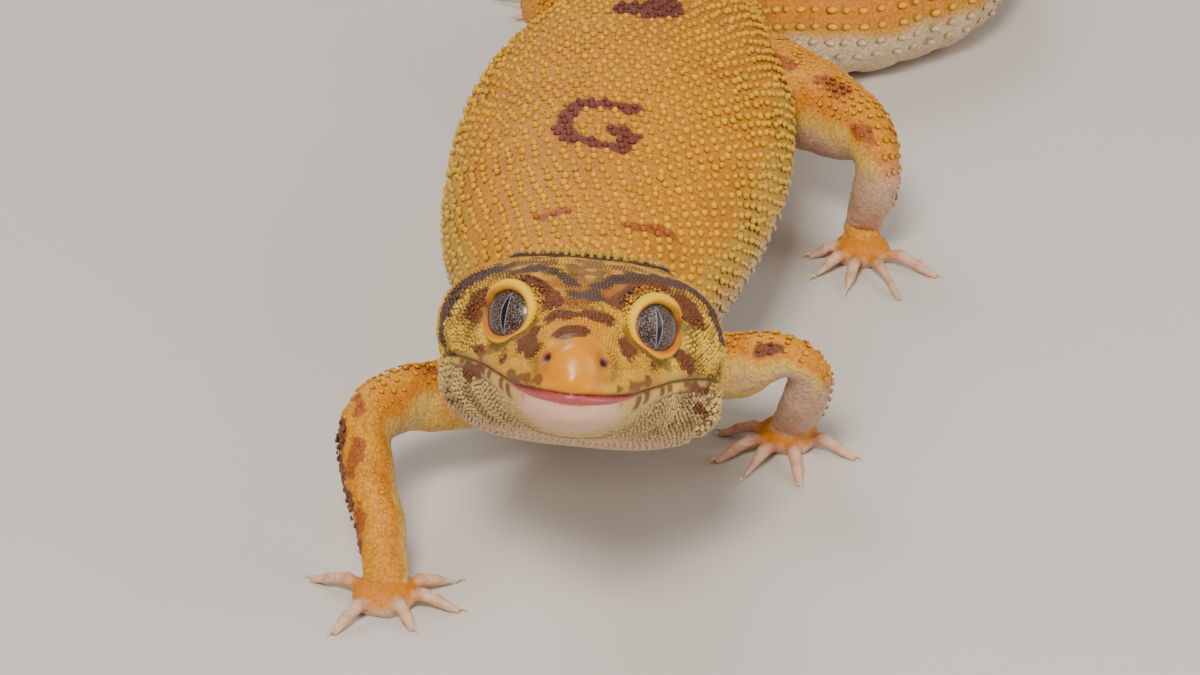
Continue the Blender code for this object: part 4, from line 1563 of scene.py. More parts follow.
    def toe_net(self, limb: Limb, index: int, number: int) -> Net:
        """A toe: round rings along an arch, thinner to the tip, with pads and planed flat below.

        Args:
            limb: The leg.
            index: Which of its toes.
            number: The toe's number, for its place on the bake map.

        Returns:
            The toe's net, painted.
        """
        tip, along, wide = limb.toe(index)
        part = np.linspace(0.12, 0.985, self.toe_rings)[:, None]
        radius = self.toe_radius * (1 - part**4) + self.toe_tip * part**4
        radius = radius * (1 + 0.07 * np.cos(part * FULL_TURN * 4) * (part > 0.3))
        centres = limb.palm + (tip - limb.palm) * part
        centres[:, 2:] = radius * 0.8 + self.knuckle * np.sin(math.pi * part) ** 2
        rings = round_rings(centres, wide, radius, radius, self.toe_around)
        rings[..., 2] = np.maximum(rings[..., 2], TOE_GAP)
        poles = (rings[0].mean(0), centres[-1] + along * 0.12)
        net = tube([rings], poles, np.linspace(0.05, 0.95, self.toe_rings),
                   (0.005 + 0.04 * number, 0.01, 0.036, 0.06))
        shares = np.append(np.repeat(part, self.toe_around), [0.12, 1.0])
        net.paint = self.markings.of_foot(net.points, shares)
        return net

    def build(self, finish: Material, replaced: tuple[str, ...]) -> None:
        """Join all nets into one skin in place of the nodes of flesh, and dress it.

        Args:
            finish: The skin's material.
            replaced: The nodes of flesh.
        """
        nets = [self.body_net()]
        for number, limb in enumerate(self.limbs):
            nets += [self.limb_net(limb, number), self.palm_net(limb, number)]
            nets += [self.toe_net(limb, index, number * 5 + index) for index in range(5)]
        self.placer.piece("gecko_skin", self.fuse(nets), finish, "body_skin", replaced)

    def union(self, nets: list[Net]) -> bpy.types.Mesh:
        """The exact union of closed nets, in millimetres.

        Args:
            nets: The nets, the body's first.

        Returns:
            One closed mesh.
        """
        meshes = [make_mesh(f"part_{number}", net.points, Net(net.points, net.faces, net.patches))
                  for number, net in enumerate(nets)]
        body = link("part_0", meshes[0])
        group = bpy.data.collections.new("limb_parts")
        bpy.context.scene.collection.children.link(group)
        for mesh in meshes[1:]:
            group.objects.link(bpy.data.objects.new(mesh.name, mesh))
        union = body.modifiers.new("union", "BOOLEAN")
        union.operand_type = "COLLECTION"
        union.collection = group
        union.operation = "UNION"
        union.solver = "EXACT"
        graph = bpy.context.evaluated_depsgraph_get()
        made = bpy.data.meshes.new_from_object(body.evaluated_get(graph),
                                               preserve_all_data_layers=True, depsgraph=graph)
        for part in [body, *group.objects]:
            bpy.data.objects.remove(part, do_unlink=True)
        bpy.data.collections.remove(group)
        made.name = "gecko_skin"
        return made

    def fuse(self, nets: list[Net]) -> bpy.types.Mesh:
        """Union of closed nets, with soft joins and every net's paint.

        Points that the union adds lie on the joins; the skin near them is relaxed towards the mean
        of its neighbours, over a wider stretch at the legs' roots than at the toes'.

        Args:
            nets: The nets, in the spine's frame.

        Returns:
            The skin's mesh at its place in the model.
        """
        made = self.union(nets)
        points = read(made.vertices, "co", np.float32, 3).astype(float)
        edges = read(made.edges, "vertices", np.int32, 2)
        source = match_points(np.concatenate([net.points for net in nets]), points)
        added = source < 0
        log.info("union: %d points, %d on the joins", len(points), added.sum())
        known = rows_of(join([net.paint for net in nets]), source)
        paint = Paint(*(fill_from_neighbours(getattr(known, part.name), added, edges)
                        for part in fields(Paint)))
        palms = np.array([limb.palm for limb in self.limbs])
        palm = np.linalg.norm(points[:, None] - palms[None], axis=-1).min(1) < self.near_palm
        weight = np.zeros(len(points))
        for joins, reach in ((added & ~palm, self.root_blend), (added & palm, self.toe_blend)):
            if joins.any():
                gap = nearest_distance(points, points[joins])
                weight = np.maximum(weight, ramp(reach, 0.25 * reach, gap))
        for _ in range(self.relaxing):
            points += 0.5 * weight[:, None] * (neighbour_mean(points, edges) - points)
        points[:, 2] = np.maximum(points[:, 2], FLOOR_GAP)
        made.vertices.foreach_set("co", self.placer.to_model(points).astype(np.float32).ravel())
        made.update()
        put_paint(made, paint)
        made.shade_smooth()
        return made


def match_points(original: Array, points: Array) -> Array:
    """Index of the original point at each place, or -1 where there is none.

    Args:
        original: Points before the union.
        points: Points after it.

    Returns:
        One index for each of `points`.
    """
    both = np.concatenate([np.round(original.astype(np.float32) * 5000), np.round(points * 5000)])
    _, inverse = np.unique(both.astype(np.int64), axis=0, return_inverse=True)
    inverse = inverse.ravel()
    table = np.full(inverse.max() + 1, -1)
    table[inverse[:len(original)]] = np.arange(len(original))
    return table[inverse[len(original):]]


def neighbour_mean(values: Array, edges: Array) -> Array:
    """Mean of each point's neighbours along edges.

    Args:
        values: One row for each point.
        edges: Pairs of joined points.

    Returns:
        Means of the values' shape.
    """
    total = np.zeros_like(values)
    count = np.bincount(edges.ravel(), minlength=len(values)).astype(float)
    for here, there in ((edges[:, 0], edges[:, 1]), (edges[:, 1], edges[:, 0])):
        for axis in range(values.shape[1]):
            total[:, axis] += np.bincount(here, values[there, axis], minlength=len(values))
    return total / np.maximum(count, 1)[:, None]


def fill_from_neighbours(values: Array, missing: Array, edges: Array) -> Array:
    """Values with the missing ones taken, in a few rounds, from neighbours that have one.

    Args:
        values: One value or row for each point.
        missing: True where there is none.
        edges: Pairs of joined points.

    Returns:
        The values, filled.
    """
    flat = values.reshape(len(values), -1).astype(float)
    known = (~missing).astype(float)[:, None]
    flat = flat * known
    for _ in range(8):
        mean, share = neighbour_mean(flat, edges), neighbour_mean(known, edges)
        fresh = missing[:, None] & (share > 0)
        flat = np.where(fresh, mean / np.maximum(share, 1e-9), flat)
        known = np.where(fresh, 1.0, known)
    return flat.reshape(values.shape)


def nearest_distance(points: Array, targets: Array) -> Array:
    """Distance from each point to the nearest target, in batches.

    Args:
        points: Places in millimetres.
        targets: Places to measure to.

    Returns:
        One distance for each point.
    """
    targets = targets.astype(np.float32)
    found = []
    for batch in np.array_split(points.astype(np.float32), max(1, len(points) // 2000)):
        gap = ((batch[:, None] - targets[None]) ** 2).sum(-1).min(1)
        found.append(np.sqrt(gap))
    return np.concatenate(found)


# ---- shader building

class Wire:
    """A number in a shader, with arithmetic that adds Math nodes."""

    def __init__(self, graph: "Graph", socket: Socket) -> None:
        """Wrap a socket of a graph."""
        self.graph = graph
        self.socket = socket

    def __add__(self, other: "Wire | float") -> "Wire":
        """Sum."""
        return self.graph.maths("ADD", self, other)

    __radd__ = __add__

    def __mul__(self, other: "Wire | float") -> "Wire":
        """Product."""
        return self.graph.maths("MULTIPLY", self, other)

    __rmul__ = __mul__

    def __sub__(self, other: "Wire | float") -> "Wire":
        """Difference."""
        return self.graph.maths("SUBTRACT", self, other)

    def __rsub__(self, other: "Wire | float") -> "Wire":
        """Difference from a number."""
        return self.graph.maths("SUBTRACT", other, self)

    def __pow__(self, exponent: float) -> "Wire":
        """Power."""
        return self.graph.maths("POWER", self, exponent)

    def __abs__(self) -> "Wire":
        """Size without sign."""
        return self.graph.maths("ABSOLUTE", self)

    def step(self, low: float, high: float) -> "Wire":
        """Soft step from 0 at `low` to 1 at `high`."""
        made = self.graph.node("ShaderNodeMapRange", {"interpolation_type": "SMOOTHSTEP"},
                               {"Value": self, "From Min": low, "From Max": high})
        return Wire(self.graph, made.outputs["Result"])


class Graph:
    """A material under construction."""

    def __init__(self, name: str) -> None:
        """Start a material that holds one Principled shader."""
        self.material = bpy.data.materials.new(name)
        self.material.use_nodes = True
        self.tree = self.material.node_tree
        self.tree.nodes.clear()
        self.shader = self.node("ShaderNodeBsdfPrincipled")
        output = self.node("ShaderNodeOutputMaterial")
        self.tree.links.new(self.shader.outputs["BSDF"], output.inputs["Surface"])

    def node(self, kind: str, settings: dict | None = None, inputs: dict | None = None
             ) -> bpy.types.Node:
        """Add a node: its settings first, then the values or links of its sockets.

        Args:
            kind: The node's type.
            settings: Its settings by name.
            inputs: Values or links by socket.

        Returns:
            The node.
        """
        made = self.tree.nodes.new(kind)
        for name, value in (settings or {}).items():
            setattr(made, name, value)
        for name, value in (inputs or {}).items():
            self.feed(made.inputs[name], value)
        return made

    def feed(self, socket: Socket, value: object) -> None:
        """Link a wire or socket, or set a value.

        Args:
            socket: The input.
            value: What goes into it.
        """
        if isinstance(value, Wire):
            self.tree.links.new(value.socket, socket)
        elif isinstance(value, Socket):
            self.tree.links.new(value, socket)
        elif isinstance(value, Array):
            socket.default_value = (*value, 1.0) if len(socket.default_value) == 4 else value
        else:
            socket.default_value = value

    def maths(self, operation: str, *values: Wire | float) -> Wire:
        """A Math node on numbers."""
        made = self.node("ShaderNodeMath", {"operation": operation}, dict(enumerate(values)))
        return Wire(self, made.outputs[0])

    def mix(self, factor: Wire | float, under: object, over: object) -> Socket:
        """One colour laid over another."""
        made = self.node("ShaderNodeMix", {"data_type": "RGBA"}, {0: factor, 6: under, 7: over})
        return made.outputs[2]

    def shade(self, colour: object, factor: Wire) -> Socket:
        """A colour made lighter or darker by a number."""
        made = self.node("ShaderNodeVectorMath", {"operation": "SCALE"},
                         {0: colour, "Scale": factor})
        return made.outputs[0]

    def millimetres(self) -> Socket:
        """Object coordinates in millimetres."""
        place = self.node("ShaderNodeTexCoord").outputs["Object"]
        return self.node("ShaderNodeVectorMath", {"operation": "SCALE"},
                         {0: place, "Scale": 1 / MM}).outputs[0]

    def attribute(self, name: str) -> bpy.types.Node:
        """An attribute of the mesh."""
        return self.node("ShaderNodeAttribute", {"attribute_name": name})

    def value(self, name: str) -> Wire:
        """A number attribute of the mesh."""
        return Wire(self, self.attribute(name).outputs["Fac"])

    def noise(self, place: Socket, pitch: float, detail: float = 2.0) -> Wire:
        """Noise from 0 to 1 whose features are about `pitch` millimetres wide."""
        made = self.node("ShaderNodeTexNoise", {},
                         {"Vector": place, "Scale": 1 / pitch, "Detail": detail})
        return Wire(self, made.outputs["Fac"])

    def cells(self, place: Socket, pitch: float, feature: str = "F1") -> bpy.types.Node:
        """Cells about `pitch` millimetres wide."""
        return self.node("ShaderNodeTexVoronoi", {"feature": feature},
                         {"Vector": place, "Scale": 1 / pitch})

    def bump(self, height: Wire, depth: float, strength: float = 1.0) -> None:
        """Relief of a depth in millimetres."""
        made = self.node("ShaderNodeBump", {}, {"Height": height, "Distance": depth * MM,
                                                "Strength": strength})
        self.feed(self.shader.inputs["Normal"], made.outputs["Normal"])

    def set(self, **values: object) -> None:
        """Values or links of the shader's own sockets, with _ for a space in their names."""
        for name, value in values.items():
            self.feed(self.shader.inputs[name.replace("_", " ")], value)


@dataclass(frozen=True)
class SkinFinish:
    """Fine granular skin: pebbles and cracks as relief, painted shade in cracks, ragged markings.
    """

    pebble: float = 0.34
    relief: float = 0.07
    roughness: float = 0.5
    softness: float = 0.06

    def make(self, name: str) -> Material:
        """The material.

        Args:
            name: The material's name.

        Returns:
            The material, fed by the skin's paint.
        """
        g = Graph(name)
        place = g.millimetres()
        cells = g.cells(place, self.pebble)
        pit = Wire(g, cells.outputs["Distance"])
        split = g.node("ShaderNodeSeparateColor", {}, {0: cells.outputs["Color"]})
        pick = Wire(g, split.outputs[0])
        grain = g.value("grain")
        crack_shade = pit.step(0.38, 0.72) * grain
        cloud = g.noise(place, 1.1, 3.0)
        speck = g.noise(place, 0.16, 2.0)
        mark = g.value("mark") + (cloud - 0.5) * 0.5 + (pick - 0.5) * 0.2 * grain
        ground = g.attribute("tint").outputs["Color"]
        painted = g.mix(mark.step(0.28, 0.72), ground, g.attribute("mark_tint").outputs["Color"])
        light = 0.80 + 0.22 * pick * grain + 0.16 * cloud + 0.12 * speck
        toned = g.shade(painted, light)
        # Painted shade: the cracks between the pebbles are darkened.
        g.set(Base_Color=g.mix(crack_shade * 0.45, toned, g.shade(painted, light * 0.45)),
              Roughness=self.roughness + 0.16 * (1 - pick) - 0.36 * g.value("gloss"))
        g.set(Subsurface_Weight=self.softness, Subsurface_Radius=(0.6, 0.3, 0.15),
              Subsurface_Scale=0.6 * MM, Specular_IOR_Level=0.35)
        g.bump((1 - pit) * grain + speck * 0.12 + cloud * 0.25, self.relief)
        return g.material


@dataclass(frozen=True)
class ScaleFinish:
    """Raised scales in their own paint, painted shade towards their feet, and fine random specks.
    """

    roughness: float = 0.48
    relief: float = 0.02

    def make(self, name: str) -> Material:
        """The material.

        Args:
            name: The material's name.

        Returns:
            The material, fed by the scales' paint.
        """
        g = Graph(name)
        place = g.millimetres()
        speck = g.noise(place, 0.1, 2.0)
        cloud = g.noise(place, 0.9, 2.0)
        light = 0.84 + 0.16 * speck + 0.18 * cloud
        g.set(Base_Color=g.shade(g.attribute("tint").outputs["Color"], light),
              Roughness=self.roughness + 0.15 * speck)
        g.set(Subsurface_Weight=0.05, Subsurface_Radius=(0.6, 0.3, 0.15),
              Subsurface_Scale=0.4 * MM, Specular_IOR_Level=0.35)
        g.bump(speck, self.relief)
        return g.material


@dataclass(frozen=True)
class IrisFinish:
    """A grey iris with dark veins and silver specks round an upright slit, under a wet film."""

    slit_half: float = 0.30
    slit_reach: float = 2.05

    def make(self, name: str) -> Material:
        """The material. The ball's own map holds millimetres of arc from the middle of the eye.

        Args:
            name: The material's name.

        Returns:
            The material.
        """
        g = Graph(name)
        arc = g.node("ShaderNodeUVMap", {"uv_map": "Arc"}).outputs["UV"]
        parts = g.node("ShaderNodeSeparateXYZ", {}, {0: arc})
        across, over = Wire(g, parts.outputs[0]), Wire(g, parts.outputs[1])
        flat = g.node("ShaderNodeCombineXYZ", {}, {0: across, 1: over}).outputs[0]
        wavy = g.noise(flat, 0.32, 2.0) - 0.5
        reach = 1 - (over * (1 / self.slit_reach)) ** 2.0
        opening = g.maths("MAXIMUM", reach, 0.0) * self.slit_half
        bend = over * over * 0.035
        rim = abs(across + bend) - opening - wavy * 0.06
        pupil = rim.step(0.03, -0.02)
        border = rim.step(0.17, 0.05) * (reach.step(-0.25, 0.1))
        vein = g.cells(flat, 0.34, "DISTANCE_TO_EDGE")
        web = Wire(g, vein.outputs["Distance"]).step(0.02, 0.14)
        twist = g.noise(flat, 0.26, 4.0).step(0.44, 0.54)
        fleck = g.noise(flat, 0.13, 3.0).step(0.56, 0.66)
        far = g.maths("SQRT", across * across + over * over)
        grey = g.mix(web * twist, Tone.VEIN, Tone.IRIS)
        grey = g.mix(fleck * 0.75, grey, Tone.FLECK)
        grey = g.mix(border * 0.7, grey, Tone.SLIT_EDGE)
        # Painted shade: the iris darkens where it goes under the lids.
        grey = g.mix(far.step(2.1, 3.1) * 0.8, grey, Tone.IRIS_RIM)
        g.set(Base_Color=g.mix(pupil, grey, Tone.PUPIL), Roughness=0.42)
        g.set(Coat_Weight=0.5, Coat_Roughness=0.03, Coat_IOR=1.38, Specular_IOR_Level=0.35)
        return g.material


@dataclass(frozen=True)
class HornFinish:
    """Pale translucent horn, darker in streaks."""

    def make(self, name: str) -> Material:
        """The material.

        Args:
            name: The material's name.

        Returns:
            The material.
        """
        g = Graph(name)
        streak = g.noise(g.millimetres(), 0.25, 3.0)
        g.set(Base_Color=g.mix(streak, Tone.HORN, Tone.HORN_PALE),
              Roughness=0.3 + 0.15 * streak)
        g.bump(streak, 0.02)
        return g.material


# ---- scales

@dataclass(frozen=True)
class ScaleShape:
    """One scale: a many-sided dome given by rings of (radius, height), closed below."""

    sides: int
    rings: tuple[tuple[float, float], ...]

    def template(self) -> tuple[Array, Array, Array, Array]:
        """Points (across, along, up), quads, top triangles and the bottom polygon."""
        turn = even_turns(self.sides)
        circle = np.stack([np.cos(turn), np.sin(turn)], 1)
        points = [np.column_stack([circle * r, np.full(self.sides, h)]) for r, h in self.rings]
        points.append(np.array([[0.0, 0.0, 1.0]]))
        j = np.arange(self.sides)
        following = (j + 1) % self.sides
        quads = np.concatenate([
            np.stack([j, following, following + self.sides, j + self.sides], 1) + self.sides * ring
            for ring in range(len(self.rings) - 1)])
        top = self.sides * (len(self.rings) - 1)
        apex = np.full(self.sides, self.sides * len(self.rings))
        return (np.concatenate(points), quads, np.stack([top + j, top + following, apex], 1),
                j[::-1][None])


@dataclass
class Roots:
    """Where scales stand: place, outward and lengthwise direction, map place and colour."""

    points: Array
    normals: Array
    lengthwise: Array
    patches: Array
    tint: Array


def plant(shape: ScaleShape, roots: Roots, sizes: tuple[Array, Array, Array],
          rng: np.random.Generator, lean: float) -> Net:
    """One mesh of many scales.

    Each template point goes to root + width * across + length * along + height * up, with sides
    pushed in and out at random so that no two scales match, and its top leaning backwards.

    Args:
        shape: The scale's shape.
        roots: Where the scales stand.
        sizes: Half-width, half-length and height of each scale in millimetres.
        rng: Source of the unevenness.
        lean: How far the top leans back, as a share of the length.

    Returns:
        The scales' net, with painted shade that darkens each scale towards its foot.
    """
    template, quads, tops, bottom = shape.template()
    count, corners = len(roots.points), len(template)
    across = unit(np.cross(roots.lengthwise, roots.normals))
    along = np.cross(roots.normals, across)
    uneven = 1 + 0.16 * (rng.random((count, shape.sides)) - 0.5)
    uneven = np.concatenate([np.tile(uneven, (1, len(shape.rings))), np.ones((count, 1))], 1)
    width, length, height = (size[:, None] for size in sizes)
    x, y, z = template.T
    points = roots.points[:, None] + across[:, None] * (x * uneven * width)[..., None] \
        + along[:, None] * ((y * uneven + lean * z) * length)[..., None] \
        + roots.normals[:, None] * (z * height)[..., None]
    points[..., 2] = np.maximum(points[..., 2], 0.01)
    base = (np.arange(count) * corners)[:, None, None]
    faces = [(part[None] + base).reshape(-1, part.shape[1]) for part in (quads, tops, bottom)]
    spot = (roots.patches[:, None] + template[None, :, :2] * 0.0015).reshape(-1, 2)
    # Painted shade: each scale is darker towards its foot.
    shade = 0.35 + 0.65 * ramp(-0.1, 0.75, np.tile(z, count))
    paint = Paint.plain(np.repeat(roots.tint, corners, 0) * shade[:, None])
    return Net(points.reshape(-1, 3), faces, [spot[part] for part in faces], paint)


@dataclass(frozen=True)
class Coat:
    """All raised scales of the gecko."""

    skin: Skin
    finish: Material
    seed: int = 7
    steps: int = 400
    measured_turn: float = 0.9
    pebble: ScaleShape = ScaleShape(7, ((1.0, -0.35), (0.86, 0.5), (0.45, 0.9)))
    granule: ScaleShape = ScaleShape(6, ((1.0, -0.35), (0.78, 0.62)))
    spine: ScaleShape = ScaleShape(7, ((1.0, -0.2), (0.7, 0.35)))
    flat: ScaleShape = ScaleShape(6, ((1.0, -0.3), (0.75, 0.7)))
    tubercle: ScaleShape = ScaleShape(9, ((1.0, -0.12), (0.8, 0.38), (0.45, 0.8)))
    leg_scale: ScaleShape = ScaleShape(7, ((1.0, -0.9), (0.8, 0.45), (0.45, 0.85)))

    @property
    def surface(self) -> BodySurface:
        """The skin's own surface."""
        return self.skin.surface

    def staggered(self, first: float, last: float, pitch: float, jitter: float,
                  rng: np.random.Generator) -> Spots:
        """Places in staggered rings round the body.

        Rings are 0.87 of the pitch apart along the skin. Round each ring the length of its arc is
        summed, and places are read at even steps of it, half a step on in every other ring.

        Args:
            first: Station of the first ring.
            last: Station of the last ring.
            pitch: Distance between neighbours in millimetres.
            jitter: Random shift as a share of the pitch.
            rng: Source of the shift.

        Returns:
            The places.
        """
        fine = np.linspace(first, last, self.steps)
        reach = path_lengths(self.surface.at(fine, np.full(self.steps, self.measured_turn)))
        rings = np.interp(np.arange(0.0, reach[-1], pitch * 0.87), reach, fine)
        turn = np.linspace(0.0, FULL_TURN, 181)
        loops = self.surface.spine.place(self.surface.base(rings[:, None], turn[None]))
        rows, turns = [], []
        for number, (ring, loop) in enumerate(zip(rings, loops)):
            arc = path_lengths(loop)
            count = max(4, round(arc[-1] / pitch))
            at = (np.arange(count) + 0.5 * (number % 2) + 0.25) * arc[-1] / count
            at = at + jitter * pitch * (rng.random(count) - 0.5)
            turns.append(np.interp(np.mod(at, arc[-1]), arc, turn))
            rows.append(ring + jitter * pitch * (rng.random(count) - 0.5))
        return Spots(self.surface, np.concatenate(rows), np.concatenate(turns))

    def roots(self, spots: Spots, rng: np.random.Generator) -> tuple[Roots, Paint]:
        """Roots at places of the body, with the colour and the paint of the skin there.

        Args:
            spots: Places of the body's skin.
            rng: Source of the scales' shades.

        Returns:
            The roots, and the skin's paint there.
        """
        paint = self.skin.markings.of_body(spots)
        behind = self.surface.at(spots.rows + 0.3, spots.turns) - spots.points
        u0, v0, width, height = self.skin.body_box
        # The unwrap gives the head's 30 mm three times their length.
        along = np.clip(spots.rows, 0, 30) * 3 + np.clip(spots.rows - 30, 0, 186)
        patches = np.stack([u0 + width * spots.turns / FULL_TURN, v0 + height * along / 276], 1)
        tint = self.pick_tint(paint, rng)
        return Roots(spots.points, self.surface.normal(spots.rows, spots.turns), unit(behind),
                     patches, tint), paint

    def pick_tint(self, paint: Paint, rng: np.random.Generator) -> Array:
        """Each scale takes the marking's colour or the ground's, and its own lightness.

        Args:
            paint: The skin's paint.
            rng: Source of the choice.

        Returns:
            One colour for each scale.
        """
        chance = rng.random(len(paint.mark))
        marked = ramp(0.32, 0.68, paint.mark + 0.24 * (chance - 0.5))
        tint = lay(paint.tint, paint.mark_tint, marked)
        return tint * (0.86 + 0.3 * rng.random((len(tint), 1)))

    def dress(self, name: str, slot: str, shape: ScaleShape, roots: Roots,
              sizes: tuple[Array, Array, Array], rng: np.random.Generator, lean: float = 0.0
              ) -> None:
        """Plant scales, with half-widths, half-lengths and heights, and make one piece of them.

        Args:
            name: The piece's name.
            slot: A slot's name, passed on to the piece.
            shape: The shape of one scale.
            roots: Where the scales stand.
            sizes: Half-widths, half-lengths and heights.
            rng: Source of the unevenness.
            lean: How far the tops lean back.
        """
        net = plant(shape, roots, sizes, rng, lean)
        self.skin.placer.piece(name, self.skin.placer.mesh(name, net), self.finish, slot)

    def build_head(self) -> None:
        """Pebbles of jowls and cheeks, granules on the crown, and a row of spines behind it."""
        rng = np.random.default_rng(self.seed)
        spots = self.staggered(13.0, 33.0, 0.56, 0.34, rng)
        jowl = self.jowl(spots)
        chosen = (jowl > 0.42 + 0.16 * rng.random(len(jowl))) & self.off_lips(spots)
        roots, _ = self.roots(spots.keep(chosen), rng)
        size = (0.20 + 0.09 * jowl[chosen]) * (0.8 + 0.45 * rng.random(chosen.sum()))
        self.dress("jowl_pebbles", "head_skin", self.pebble, roots,
                   (size, size * 1.08, size * 0.95), rng, 0.3)

        spots = self.staggered(4.5, 33.0, 0.37, 0.34, rng)
        _, station, over = spots.plain.T
        grows = ramp(5.0, 10.0, station) * ramp(7.4, 5.6, over + 0.1 * station - 1.0)
        chosen = (grows > rng.random(len(grows))) & (spots.socket > 1.25) & (over > -5.6)
        chosen &= self.off_lips(spots) & (self.jowl(spots) < 0.5)
        roots, _ = self.roots(spots.keep(chosen), rng)
        size = 0.165 + 0.025 * ramp(8, 18, station[chosen])
        size = size * (0.8 + 0.4 * rng.random(chosen.sum()))
        self.dress("cheek_pebbles", "head_skin", self.granule, roots,
                   (size, size * 1.08, size * 0.75), rng, 0.2)

        spots = self.staggered(2.6, 30.0, 0.31, 0.3, rng)
        across, station, over = spots.plain.T
        crown = over + 0.1 * station - 1.0 > 5.6 + 1.8 * rng.random(len(over))
        crown |= (station < 9.0) & (over > 2.0)
        nose = (np.abs(across) < 2.5) & (station < 3.4) & (over > 0)
        chosen = crown & ~nose & (spots.socket > 1.25)
        roots, _ = self.roots(spots.keep(chosen), rng)
        size = 0.135 * (0.85 + 0.3 * rng.random(chosen.sum()))
        self.dress("crown_granules", "head_skin", self.granule, roots,
                   (size, size * 1.05, size * 0.45), rng)

        spots = self.staggered(23.3, 28.5, 0.75, 0.4, rng)
        over = spots.plain[:, 2]
        chosen = over > 6.4 + 0.8 * rng.random(len(over))
        roots, _ = self.roots(spots.keep(chosen), rng)
        roots.tint = lay(roots.tint, Tone.CHEEK * 1.1, 0.6)
        size = 0.3 * (0.75 + 0.5 * rng.random(chosen.sum()))
        self.dress("nape_spines", "head_skin", self.spine, roots,
                   (size, size * 1.1, size * 1.7), rng, 0.7)

    def jowl(self, spots: Spots) -> Array:
        """Nearness to the jowl, where pebbles are largest."""
        _, station, over = spots.plain.T
        return np.exp(-((station - 21.5) / 5.0) ** 2 - ((over + 2.4) / 3.4) ** 2)

    def off_lips(self, spots: Spots) -> Array:
        """Clear of the lips' plates, of the mouth line and of the ear opening.

        Args:
            spots: Places of the body's skin.

        Returns:
            One truth for each place.
        """
        _, station, over = spots.plain.T
        end = self.surface.mouth_end
        lips = (np.abs(over + 0.15) < self.surface.lip_reach(station) + 0.2) & (station < end - 2.0)
        line = (np.abs(over) < 0.3) & (station < end + 0.3)
        ear = np.hypot(station - 25.0, (over - 2.4) / 1.5) < 1.0
        return ~(lips | line | ear)

    def build_belly(self) -> None:
        """Small flat scales in even rows, from the chin over the throat and the belly."""
        rng = np.random.default_rng(self.seed + 1)
        parts, sizes = [], []
        for first, last, pitch in ((4.0, 34.0, 0.56), (34.0, 120.0, 0.95)):
            spots = self.staggered(first, last, pitch, 0.08, rng)
            _, station, over = spots.plain.T
            if first < 30:
                chin = (station > 4.0) & (station < 10.0) & (over < -2.6 - 0.3 * station)
                chosen = (over < -5.6) | chin
            else:
                chosen = over < -0.62 * self.surface.spine.sizes(station)[2]
            parts.append(self.roots(spots.keep(chosen), rng)[0])
            sizes.append(np.full(chosen.sum(), pitch * 0.5))
        size = np.concatenate(sizes)
        self.dress("belly_scales", "body_skin", self.flat, join(parts),
                   (size, size * 1.1, size * 0.3), rng, 0.3)

    def build_trunk(self) -> None:
        """Tubercles in staggered rows on neck, back and flanks, but not where the legs begin."""
        rng = np.random.default_rng(self.seed + 2)
        spots = self.staggered(27.5, 124.0, 1.4, 0.3, rng)
        above = self.surface.spine.sizes(spots.plain[:, 1])[1]
        level = spots.plain[:, 2] / above
        chosen = level > -0.38
        for limb in self.skin.limbs:
            path = np.array(limb.path)
            chosen &= distance_to_path(spots.points, path[:5, :3]) >= path[1, 3] + 0.4
        spots, level = spots.keep(chosen), level[chosen]
        roots, paint = self.roots(spots, rng)
        bright = lay(Tone.TUBERCLE, paint.tint, 0.3) * (0.85 + 0.3 * rng.random((len(level), 1)))
        roots.tint = layers(bright,
                            (Tone.FLANK * 1.25, ramp(0.55, 0.15, level)),
                            (Tone.BELLY, ramp(0.1, -0.3, level)),
                            (paint.mark_tint * 1.25, ramp(0.42, 0.58, paint.mark)))
        grow = 0.6 + 0.4 * ramp(24.0, 40.0, spots.rows)
        size = 0.38 * grow * (0.75 + 0.45 * rng.random(len(level)))
        size *= 0.75 + 0.25 * ramp(-0.3, 0.2, level)
        height = 0.42 * grow * (0.6 + 0.4 * ramp(-0.3, 0.3, level))
        self.dress("trunk_tubercles", "body_skin", self.tubercle, roots,
                   (size, size * 1.1, height), rng, 0.25)
        self.build_tail(rng)

    def build_tail(self, rng: np.random.Generator) -> None:
        """Rings of tubercles on the upper side of the tail, two rings on each whorl.

        Args:
            rng: The source that the trunk's tubercles have drawn from.
        """
        rows, turns, scale = [], [], []
        for ring in np.arange(126.0, 212.0, self.surface.whorl / 2):
            half = self.surface.spine.sizes(np.array([ring]))[0][0]
            count = max(5, round(FULL_TURN * half / 1.9))
            turns.append((np.arange(count) + 0.5) * FULL_TURN / count)
            rows.append(np.full(count, ring))
            scale.append(np.full(count, min(1.0, half / 4.0)))
        rows, turns, scale = (np.concatenate(values) for values in (rows, turns, scale))
        spots = Spots(self.surface, rows, turns)
        level = spots.plain[:, 2] / self.surface.spine.sizes(rows)[1]
        chosen = level > -0.45
        level, scale = level[chosen], scale[chosen]
        roots, paint = self.roots(spots.keep(chosen), rng)
        roots.tint = layers(Tone.TUBERCLE,
                            (Tone.BELLY, ramp(0.2, -0.2, level)),
                            (paint.mark_tint * 1.25, ramp(0.42, 0.58, paint.mark)))
        self.dress("tail_tubercles", "tail_skin", self.tubercle, roots,
                   (0.45 * scale, 0.625 * scale, 0.4 * scale), rng, 0.45)

